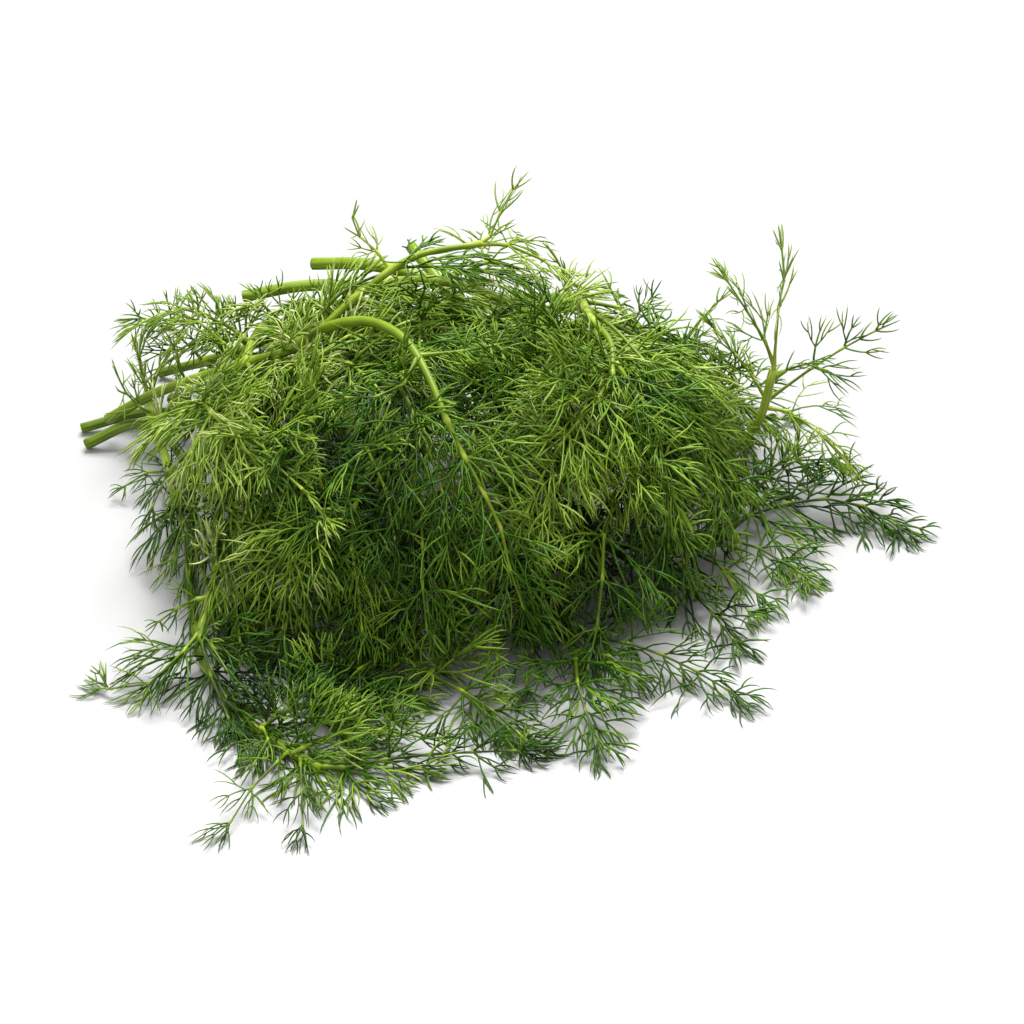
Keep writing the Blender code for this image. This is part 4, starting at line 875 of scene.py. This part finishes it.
# %% Finishes of the dill
# The mottle changes the tone by up to half of this share. The grain of the fine bump is in mm, and
# light that enters a leaf comes out again within the glow depth, mostly green.
MOTTLE = 0.35
BUMP_GRAIN = 0.25
BUMP_STRENGTH = 0.5
LEAF_IOR = 1.42
WAX_SHEEN = 0.3
GLOW_COLOUR = (0.6, 1.0, 0.25)
GLOW_DEPTH = 0.7


def green_material(name, stops, roughness, translucency, grain_mm, ribs):
    """A leaf or stem finish. Its colour runs through the stops by the surface's tone, which holds both
    its own colour and painted shade, plus a soft mottle of grain_mm, and ribs is the depth of the
    fine bump in mm."""
    material, shader, where = new_material(name)
    tone = add_node(material, "ShaderNodeAttribute", {"attribute_name": "tone"})
    mottle = noise(material, where, grain_mm, 2.0)
    spread = add_node(
        material, "ShaderNodeMath", {"operation": "MULTIPLY_ADD"}, {1: MOTTLE, 2: -MOTTLE / 2},
        {0: (mottle, "Fac")},
    )
    total = add_node(
        material, "ShaderNodeMath", {"operation": "ADD"}, links={0: (tone, "Fac"), 1: (spread, "Value")}
    )
    colour_ramp(material, shader, total, "Value", stops)
    bump = add_node(
        material, "ShaderNodeBump", inputs={"Strength": BUMP_STRENGTH, "Distance": ribs * MM},
        links={"Height": (noise(material, where, BUMP_GRAIN, 1.0), "Fac")},
    )
    material.node_tree.links.new(bump.outputs["Normal"], shader.inputs["Normal"])
    set_inputs(shader, {
        "Roughness": roughness, "IOR": LEAF_IOR, "Specular IOR Level": WAX_SHEEN,
        "Subsurface Weight": translucency, "Subsurface Radius": GLOW_COLOUR,
        "Subsurface Scale": GLOW_DEPTH * MM,
    })
    return material


# Dill leaf, grown outdoors: a thin waxy skin gives a satin gloss, and light glows through it.
dill_leaf = green_material(
    "fresh_dill_leaf", [(0.0, "081E01"), (0.35, "3D640B"), (0.65, "819C2E"), (1.0, "CED594")],
    0.42, 0.25, 5.0, 0.03,
)
# Dill stem, snapped or cut young: smooth, ribbed along its length, yellow-green and glossier.
dill_stem = green_material(
    "fresh_dill_stem", [(0.0, "2E440B"), (0.4, "76901D"), (0.75, "AFC04A"), (1.0, "D6DCA0")],
    0.34, 0.2, 9.0, 0.05,
)
# A knife cut through a stem: a wet, pale green disc of pith with a darker skin round it.
cut_pith = green_material(
    "wet_cut_dill_pith", [(0.0, "A7C56A"), (0.5, "CFDFA2"), (1.0, "E8EFCB")],
    0.25, 0.3, 1.5, 0.05,
)
FINISHES = [dill_leaf, dill_stem, cut_pith]
print("finishes:", [finish.name for finish in FINISHES])

# %% [markdown]
# ## One leafy stem as one piece
#
# The stem, the leaf stalks and the threads go into one mesh. Each vertex keeps a tone, from 0 for
# the darkest green to 1 for the palest, which the material reads. The tone holds both the dill's
# own colour and painted shade.

# %% The mesh of a leafy stem
LEAF, STEM, CUT = 0, 1, 2


class Growth:
    """Collects the tubes of one leafy stem, with a tone and a finish for each."""

    def __init__(self):
        self.points, self.triangles, self.tones, self.finishes, self.total = [], [], [], [], 0

    def add(self, made, tone, finish):
        points, triangles = made[:2]
        self.points.append(points)
        self.triangles.append(triangles + self.total)
        self.tones.append(np.broadcast_to(tone, len(points)))
        self.finishes.append(np.full(len(triangles), finish))
        self.total += len(points)

    def piece(self, name):
        """The mesh object of everything collected, in metres."""
        points = np.concatenate(self.points) * MM
        points[:, 2] = np.maximum(points[:, 2], 0)
        triangles = np.concatenate(self.triangles)
        mesh = bpy.data.meshes.new(name)
        mesh.vertices.add(len(points))
        mesh.vertices.foreach_set("co", points.ravel())
        mesh.loops.add(triangles.size)
        mesh.loops.foreach_set("vertex_index", triangles.ravel())
        mesh.polygons.add(len(triangles))
        mesh.polygons.foreach_set("loop_start", 3 * np.arange(len(triangles)))
        for finish in FINISHES:
            mesh.materials.append(finish)
        mesh.polygons.foreach_set("material_index", np.concatenate(self.finishes))
        mesh.update(calc_edges=True)
        mesh.shade_smooth()
        tone = mesh.attributes.new("tone", "FLOAT", "POINT")
        tone.data.foreach_set("value", np.concatenate(self.tones).astype(np.float32))
        piece = bpy.data.objects.new(name, mesh)
        bpy.context.scene.collection.objects.link(piece)
        return piece


# %% [markdown]
# ## Painted shade, and places with fewer threads
#
# Threads are painted darker the deeper they lie, as painted shade, and darkest in a few hollows
# between the leaves, where more painted shade is laid on. In some spots near the table the leaves
# are thin, and round the pale arch over the top there are none.

# %% Painted shade and spots
# Painted shade. Depth is counted from SURFACE_SKIN mm under the heap's surface over the next SHADE_OVER mm.
# Beside the heap the painted shade is up to LOW_SHADE, darkest at the table, and fades out by LOW_HEIGHT
# above the table.
SURFACE_SKIN = 5
SHADE_OVER = 25
LOW_SHADE = 0.6
LOW_HEIGHT = 40

# The middle of each spot in millimetres, and its radius.
# Hollows: spots where the side branches and their threads get painted shade, most at the middle.
PAINTED_SHADE_HOLLOWS = [
    (-40, -18, 69, 15), (-54, -20, 66, 15), (-68, -27, 54, 15), (-40, -47, 40, 17), (-48, -26, 58, 12),
    (-24, -12, 72, 11), (-24, 16, 80, 8), (-66, -71, 4, 15), (51, -7, 52, 13), (42, -38, 25, 14),
    (49, 4, 58, 11), (63, 0, 45, 12), (-65, -42, 38, 12),
]
THIN_SPOTS = [
    (62, -30, 4, 20), (75, -14, 4, 20), (44, -44, 4, 18), (1, -62, 3, 17), (-97, -73, 3, 14),
    (102, 23, 4, 16), (86, -4, 3, 16), (89, 32, 12, 16), (105, 43, 3, 16), (-107, -25, 14, 16),
    (-109, -15, 27, 14), (-25, -95, 2, 14), (-23, -68, 3, 12), (86, 36, 26, 12),
]
CLEAR_SPOTS = [
    (-58, 35, 79, 7), (-49, 30, 84, 8), (-41, 23, 87, 9), (-35, 15, 87, 9), (-29, 5, 86, 9),
    (-23, -9, 81, 7),
]


def fall_off(distance, reach):
    """1 at no distance, falling as exp(-(distance / reach)^2)."""
    return np.exp(-((distance / reach) ** 2))


def nearness(points, spots):
    """1 in the middle of a spot, falling off with the distance from the nearest spot."""
    spots = np.array(spots, float)
    apart = np.linalg.norm(points[:, None] - spots[None, :, :3], axis=2)
    return fall_off(apart, spots[:, 3]).max(axis=1)


def below_surface(points):
    """0 at the heap's surface and outside it, and 1 deep below the surface."""
    surface = heap_height(points[:, 0], points[:, 1])
    return np.clip((surface - SURFACE_SKIN - points[:, 2]) / SHADE_OVER, 0, 1)


def painted_shade_in_heap(points):
    """How much painted shade each point gets: as far as it is below the heap's surface, or up to
    LOW_SHADE beside the heap, where the leaves lie on the table."""
    return np.maximum(below_surface(points), LOW_SHADE * np.clip(1 - points[:, 2] / LOW_HEIGHT, 0, 1))


print("hollows:", len(PAINTED_SHADE_HOLLOWS), "thin spots:", len(THIN_SPOTS), "clear spots:", len(CLEAR_SPOTS))

# %% [markdown]
# ## The stem and the stalks
#
# A stem is ribbed. It swells and turns paler where a leaf leaves it, and so does a leaf's stalk
# at its foot, where it is a sheath round the stem, and where its side branches leave it.

# %% The stem
STEM_SIDES = 16
STEM_FINER = 6
RIB_DEPTH = 0.045
RIB_TONE = 0.07
LEAF_FOOT_REACH = 4.0
LEAF_FOOT_SWELL = 0.22
LEAF_FOOT_TONE = 0.25
STEM_TONE = 0.4
# STEM_SHADE is painted shade: the stem's tone drops where it lies deep in the heap or low beside it.
STEM_SHADE = 0.35

# The knife cut: rings this far beyond the stem's end in mm, at these shares of its radius.
CUT_RINGS = np.array([-0.5, 0.12, 0.14])
CUT_RADII = np.array([[0.9, 0.86, 0.5]])
CUT_TONE = 0.6


def add_stem(growth, points, radii, leaf_feet):
    """The stem, a ribbed tube with a pale knife cut on its foot. Near a leaf's foot its radius is
    1 + LEAF_FOOT_SWELL exp(-(distance / LEAF_FOOT_REACH)^2) times as large."""
    count = STEM_FINER * len(points)
    path = smooth_route(points, count)
    radius = np.interp(np.linspace(0, 1, count), np.linspace(0, 1, len(radii)), radii)
    near = fall_off(np.linalg.norm(path[:, None] - leaf_feet[None], axis=2).min(axis=1), LEAF_FOOT_REACH)
    path = over_table(path, 0.0)
    swollen = radius * (1 + LEAF_FOOT_SWELL * near)
    made = tubes(path[None], swollen[None], STEM_SIDES, False, RIB_DEPTH)
    # The stem's tone: paler near each leaf's foot, and darker by painted shade deep in the heap or low beside
    # it.
    ring_tone = STEM_TONE + LEAF_FOOT_TONE * near - STEM_SHADE * painted_shade_in_heap(path)
    tone = ring_tone[np.minimum((made[2] * (count - 1)).round().astype(int), count - 1)]
    stripes = RIB_TONE * np.cos(RIBS * math.tau * (np.arange(len(made[0])) % STEM_SIDES) / STEM_SIDES)
    growth.add(made, tone + stripes, STEM)
    cut = path[0] + CUT_RINGS[:, None] * unit(path[0] - path[1])
    growth.add(tubes(cut[None], radius[0] * CUT_RADII, STEM_SIDES, False), CUT_TONE, CUT)


# %% The stalk of a leaf
# A leaf of the slim spread, as the free sprigs at the rim are, has finer stalks and threads than
# one of the broad spread, and a thin stalk is shown thinner still.
SLIM_SPREAD = 18.0
BROAD_SPREAD = 29.0
SLIM_STALK = 0.72
THIN_STALK_RADII = (0.9, 1.3)
THIN_STALK_SHARES = (0.76, 1.0)
STALK_SIDES = 7
STALK_POINTS = 60
SHEATH_REACH = 5.0
SHEATH_SWELL = 0.35
JOINT_REACH = 1.6
JOINT_SWELL = 0.28
SWELL_TONE = 0.3
STALK_TONE = 0.3
# STALK_SHADE is painted shade: the stalk's tone drops where it lies deep in the heap or low beside it.
STALK_SHADE = 0.3
THICK_STALK_RADII = (1.0, 2.2)
THICK_STALK_TONES = (0.0, 0.16)


def from_slim(value, breadth):
    """The value of a slim leaf, which rises to 1 for a leaf of the broad spread."""
    return value + (1 - value) * breadth


def add_stalk(growth, stalk, leaf_tone, breadth):
    """A leaf's stalk, swollen and paler by exp(-(distance / reach)^2) at its foot and joints."""
    share = np.linspace(0, 1, STALK_POINTS)
    centres = smooth_route(stalk.centres, STALK_POINTS)
    lengths = np.concatenate([[0], np.cumsum(np.linalg.norm(np.diff(stalk.centres, axis=0), axis=1))])
    radius = np.interp(share, lengths / lengths[-1], stalk.radii)
    sheath = fall_off(share * lengths[-1], SHEATH_REACH)
    apart = np.linalg.norm(centres[:, None] - stalk.centres[stalk.pairs][None], axis=2).min(axis=1)
    joint = fall_off(apart, JOINT_REACH)
    slimmer = np.interp(radius, THIN_STALK_RADII, THIN_STALK_SHARES) * from_slim(SLIM_STALK, breadth)
    shown_radius = radius * (slimmer + SHEATH_SWELL * sheath + JOINT_SWELL * joint)
    made = tubes(centres[None], shown_radius[None], STALK_SIDES)
    thick_tone = np.interp(stalk.radii[0], THICK_STALK_RADII, THICK_STALK_TONES)
    # Paler at the sheath and joints, and darker by painted shade deep in the heap or low beside it.
    along_tone = SWELL_TONE * (sheath + joint) - STALK_SHADE * painted_shade_in_heap(centres)
    growth.add(made, STALK_TONE + thick_tone + leaf_tone + np.interp(made[2], share, along_tone), STEM)


# %% [markdown]
# ## The branches and threads of a leaf
#
# Half-way between the side branches grow smaller ones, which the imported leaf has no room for, and
# deep in the heap short threads fill the shade. Free sprigs in the air have fewer and longer
# threads than the leaves of the heap.

# %% Side branches as they are shown
SMALL_SHARE = 0.62
SLIM_REACH = 1.12
SLIM_END = 1.9
SLIM_BRANCH = 0.7
AIRY = 0.2
FREE_REACH = 0.2
FREE_THINNED = 0.5
FREE_FROM = 10
FREE_OVER = 15
BRANCH_BOW = 0.08
BRANCH_LIFT = 0.05
BRANCH_LOWEST = 0.45
BRANCH_SIDES = 4
BRANCH_POINTS = 6
BRANCH_RADII = np.linspace(0.55, 0.28, BRANCH_POINTS)


def chosen(kept, *arrays):
    return [array[kept] for array in arrays]


def freedom(points, breadth):
    """How free in the air each point of a slim leaf is: 0 near the heap, and 1 well above it."""
    height = points[:, 2] - heap_height(points[:, 0], points[:, 1])
    return np.clip((height - FREE_FROM) / FREE_OVER, 0, 1) * (1 - breadth)


def small_branches(stalk):
    """Smaller side branches half-way between the outer pairs: (rings, feet, tips). Each is
    SMALL_SHARE of its neighbours' length, at their angle."""
    first = len(stalk.pairs) // 3
    rings = np.repeat(stalk.pairs[first:-1], 2)
    following = np.repeat(stalk.pairs[first + 1:], 2)
    hand = np.tile([-1.0, 1.0], len(rings) // 2)[:, None]
    share = (np.repeat(np.arange(first, len(stalk.pairs) - 1), 2) + 0.5)[:, None] / (len(stalk.pairs) - 1)
    feet = (stalk.centres[rings + 1] + stalk.centres[following]) / 2
    forward = unit(stalk.centres[following] - stalk.centres[rings + 1])
    angle = branch_angle(stalk, share)
    way = np.cos(angle) * forward + np.sin(angle) * hand * stalk.side[rings]
    way[:, 2] -= HANG * np.maximum(-forward[:, 2], 0)
    tips = feet + SMALL_SHARE * longest_branch(stalk) * (1 - (1 - BRANCH_SHRINK) * share) * unit(way)
    tips[:, 2] = np.maximum(tips[:, 2], LOWEST_TIP)
    return rings, feet, tips


def shown_branches(stalk, branches, breadth, rng):
    """The side branches, the smaller ones that are kept and, last, the end of the stalk. All but the
    end of the stalk are bowed a little outward and up: (paths, rings on the stalk, tips)."""
    small_rings, small_feet, small_tips = small_branches(stalk)
    last = stalk.pairs[-1]
    rings = np.array([stalk.pairs[branch.pair] for branch in branches] + [*small_rings, last])
    feet = np.array([branch.foot for branch in branches] + [*small_feet, stalk.centres[last]])
    tips = np.array([branch.tip for branch in branches] + [*small_tips, stalk.centres[-1]])
    longer = np.full((len(tips), 1), SLIM_REACH)
    longer[-1] = SLIM_END
    longer = from_slim(longer, breadth) + FREE_REACH * freedom(feet, breadth)[:, None]
    tips = feet + (tips - feet) * longer
    kept = rng.random(len(tips)) > nearness(tips, THIN_SPOTS + CLEAR_SPOTS)
    kept &= breadth > AIRY
    kept[:len(branches)] = True
    kept[-1] = True
    rings, feet, tips = chosen(kept, rings, feet, tips)
    forward = unit(stalk.centres[rings + 1] - stalk.centres[rings])
    reach = np.linalg.norm(tips - feet, axis=1)
    chord = unit(tips - feet)
    outward = -unit(forward - (forward * chord).sum(1, keepdims=True) * chord)
    bow = reach[:, None] * (BRANCH_BOW * outward + BRANCH_LIFT * stalk.up[rings])
    bow[-1] = 0
    return over_table(bowed(feet, tips, bow, BRANCH_POINTS), BRANCH_LOWEST), rings, tips


# %% Threads inside the heap
INNER_EACH = 6
INNER_LENGTHS = (9.0, 17.0)
INNER_DEPTH = 0.4
# The inner threads are given a dark tone as painted shade.
INNER_PAINTED_SHADE_TONE = 0.1


def inner_threads(branches, rng):
    """Threads in the shade inside the heap, where leaves lie pressed together. Each starts on a
    side branch and runs any way that stays deep."""
    starts = np.repeat(branches, INNER_EACH, axis=0)
    starts = at_share(starts, rng.random((len(starts), 1)))[0][:, 0]
    ways = unit(rng.normal(size=starts.shape))
    lengths = rng.uniform(*INNER_LENGTHS, len(starts))
    paths = free_threads(starts, ways, np.cross(ways, [0, 0, 1]), lengths, TWIGS.bulge, rng)
    deep = np.minimum(below_surface(starts), below_surface(paths[:, -1])) > INNER_DEPTH
    return paths[deep]


# %% A leaf
# A thread's radius in mm, its shares along the thread, and what is left of it in a slim leaf.
THREAD_RADIUS = 0.43
THREAD_PROFILE = np.array([[1.0, 0.95, 0.85, 0.62, 0.0]])
THREAD_SIDES = 3
SLIM_THICKNESS = 0.6
THINNED = 0.35
CLEAR_WITHIN = 0.45

# Tones: the lightest and darkest leaf, how tones spread within a leaf, what the painted shade takes
# away deep in the heap and in the hollows, and how much paler a branch and a thread are at the end.
LEAF_TONES = (-0.17, 0.16)
BRANCH_TONE = 0.53
BRANCH_TONE_SPREAD = 0.05
TWIG_TONE_SPREAD = 0.07
DEEP_PAINTED_SHADE = 0.4
HOLLOW_PAINTED_SHADE = 0.42
BRANCH_END_TONE = 0.05
THREAD_END_TONE = 0.16


def add_threads(growth, paths, radius, tones, end_tone):
    """Threads that taper to a point, each of its own tone, and paler towards the end."""
    made = tubes(paths, np.repeat(radius * THREAD_PROFILE, len(paths), axis=0), THREAD_SIDES)
    growth.add(made, tones[made[3]] + end_tone * made[2], LEAF)


def add_leaf(growth, stalk, branches, rng):
    """A leaf: its stalk, side branches, twigs and forks. Gives the number of its threads."""
    leaf_tone = rng.uniform(*LEAF_TONES)
    breadth = np.clip((stalk.spread - SLIM_SPREAD) / (BROAD_SPREAD - SLIM_SPREAD), 0, 1)
    add_stalk(growth, stalk, leaf_tone, breadth)
    paths, rings, tips = shown_branches(stalk, branches, breadth, rng)
    radii = np.tile(BRANCH_RADII * from_slim(SLIM_BRANCH, breadth), (len(paths), 1))
    made = tubes(paths, radii, BRANCH_SIDES)
    branch_tone = BRANCH_TONE + leaf_tone + rng.normal(0, BRANCH_TONE_SPREAD, len(paths))
    # Painted shade: branches, and the threads that take their tone, go darker deep in the heap, low beside it
    # and in the hollows.
    branch_tone -= DEEP_PAINTED_SHADE * painted_shade_in_heap(tips) + HOLLOW_PAINTED_SHADE * nearness(tips, PAINTED_SHADE_HOLLOWS)
    growth.add(made, branch_tone[made[3]] + BRANCH_END_TONE * made[2], LEAF)

    twigs, flat, lengths, on_branch = twigs_of(paths, stalk.up[rings], rng)
    thinned = FREE_THINNED * freedom(twigs[:, 0], breadth)
    thinned = np.maximum(thinned, THINNED * nearness(twigs[:, 2], THIN_SPOTS))
    kept = rng.random(len(twigs)) > thinned
    kept &= nearness(twigs[:, 3], CLEAR_SPOTS) < CLEAR_WITHIN
    twigs, flat, lengths, on_branch = chosen(kept, twigs, flat, lengths, on_branch)
    forks, _, _, on_twig = forks_of(twigs, flat, lengths, rng)
    kept = rng.random(len(forks)) > nearness(forks[:, -1], THIN_SPOTS)
    kept &= nearness(forks[:, -1], CLEAR_SPOTS) < CLEAR_WITHIN
    forks, on_twig = chosen(kept, forks, on_twig)
    twig_tone = branch_tone[on_branch] + rng.normal(0, TWIG_TONE_SPREAD, len(twigs))
    radius = THREAD_RADIUS * from_slim(SLIM_THICKNESS, breadth)
    add_threads(growth, twigs, radius, twig_tone, THREAD_END_TONE)
    add_threads(growth, forks, radius, twig_tone[on_twig], THREAD_END_TONE)
    inner = inner_threads(paths, rng)
    # Painted shade: the inner threads are dark.
    inner_shaded_tone = rng.normal(INNER_PAINTED_SHADE_TONE, BRANCH_TONE_SPREAD, len(inner))
    add_threads(growth, inner, THREAD_RADIUS, inner_shaded_tone, 0)
    return len(twigs) + len(forks) + len(inner)


# %% Grow every leafy stem
threads = 0
for number, (name, stem, leaves) in enumerate(grown):
    rng = np.random.default_rng([11, number])
    growth = Growth()
    add_stem(growth, *stem, np.array([stalk.centres[0] for stalk, branches in leaves]))
    for stalk, branches in leaves:
        threads += add_leaf(growth, stalk, branches, rng)
    piece = growth.piece(name.replace("leafy_stem", "dill_sprig"))
    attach(piece, "root")
    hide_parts(name)
    print(piece.name, len(piece.data.polygons), "triangles")
print("threads:", threads)

# %% [markdown]
# ## The table
#
# The bunch lies on a plain white table in soft light, so the floor is large, pale and nearly matt.

# %% Table
TABLE_SIZE = 6.0
TABLE_BELOW = 0.2
TABLE_SHADE = "ABABAB"
TABLE_FAINT = "A7A7A6"
CLOUD_GRAIN = 90


def table_top():
    """A flat square sheet, TABLE_SIZE metres wide, just under the lowest stem."""
    half = TABLE_SIZE / 2
    corners = [(-half, -half), (half, -half), (half, half), (-half, half)]
    mesh = bpy.data.meshes.new("table")
    mesh.from_pydata([(x, y, -TABLE_BELOW * MM) for x, y in corners], [], [(0, 1, 2, 3)])
    return bpy.data.objects.new("table", mesh)


def laminate():
    """White laminate, wiped often: nearly even, with wide faint clouds and a soft sheen."""
    material, shader, where = new_material("wiped_white_laminate")
    clouds = noise(material, where, CLOUD_GRAIN, 2.0)
    colour_ramp(material, shader, clouds, "Fac", [(0.0, TABLE_FAINT), (1.0, TABLE_SHADE)])
    set_inputs(shader, {"Roughness": 0.35, "IOR": 1.5})
    return material


table = table_top()
bpy.context.scene.collection.objects.link(table)
table.data.materials.append(laminate())
print("table:", TABLE_SIZE, "m wide")

# %% [markdown]
# ## Light
#
# The photograph was taken in a light tent: a broad lamp above and behind, a weaker one from the
# front left, and white all round, which leaves only faint shadows under the leaves.

# %% Lamps and surroundings
# Each lamp's place in metres and its power. Both are squares a metre wide, aimed at the heap.
LAMPS = {"tent_top": ((0.05, 0.75, 1.5), 60), "tent_front_left": ((-0.9, -0.8, 1.3), 9)}
LAMP_WIDTH = 1.0
LAMP_AIM = np.array([0, 0.03, 0.03])
TENT_STRENGTH = 0.5

world = bpy.data.worlds.new("white_tent")
bpy.context.scene.world = world
world.use_nodes = True
set_inputs(world.node_tree.nodes["Background"], {"Color": (1, 1, 1, 1), "Strength": TENT_STRENGTH})
for name, (place, power) in LAMPS.items():
    lamp = bpy.data.lights.new(name, "AREA")
    lamp.shape, lamp.size, lamp.energy = "SQUARE", LAMP_WIDTH, power
    shown = bpy.data.objects.new(name, lamp)
    shown.location = place
    away = unit(np.array(place) - LAMP_AIM)
    shown.rotation_euler = (math.acos(away[2]), 0, math.atan2(away[1], away[0]) + math.pi / 2)
    bpy.context.scene.collection.objects.link(shown)
bpy.context.scene.view_settings.view_transform = "Standard"
print("lamps:", list(LAMPS))

# %% [markdown]
# ## Camera
#
# The photograph looks down at the heap from the front at 38 degrees, from about 0.9 m away.

# %% Camera
CAMERA_ELEVATION = math.radians(38)
CAMERA_DISTANCE = 0.9
CAMERA_TARGET = np.array([0.001, 0.028, 0.0])
LENS_PIXELS = 2520
PHOTO_PIXELS = 1024
SENSOR_WIDTH = 36
camera = bpy.data.cameras.new("photograph")
camera.sensor_width = SENSOR_WIDTH
camera.lens = LENS_PIXELS / PHOTO_PIXELS * SENSOR_WIDTH
shown = bpy.data.objects.new("photograph", camera)
way = np.array([0, -math.cos(CAMERA_ELEVATION), math.sin(CAMERA_ELEVATION)])
shown.location = CAMERA_TARGET + CAMERA_DISTANCE * way
shown.rotation_euler = (math.pi / 2 - CAMERA_ELEVATION, 0, 0)
bpy.context.scene.collection.objects.link(shown)
bpy.context.scene.camera = shown
print("lens:", round(camera.lens, 1), "mm")
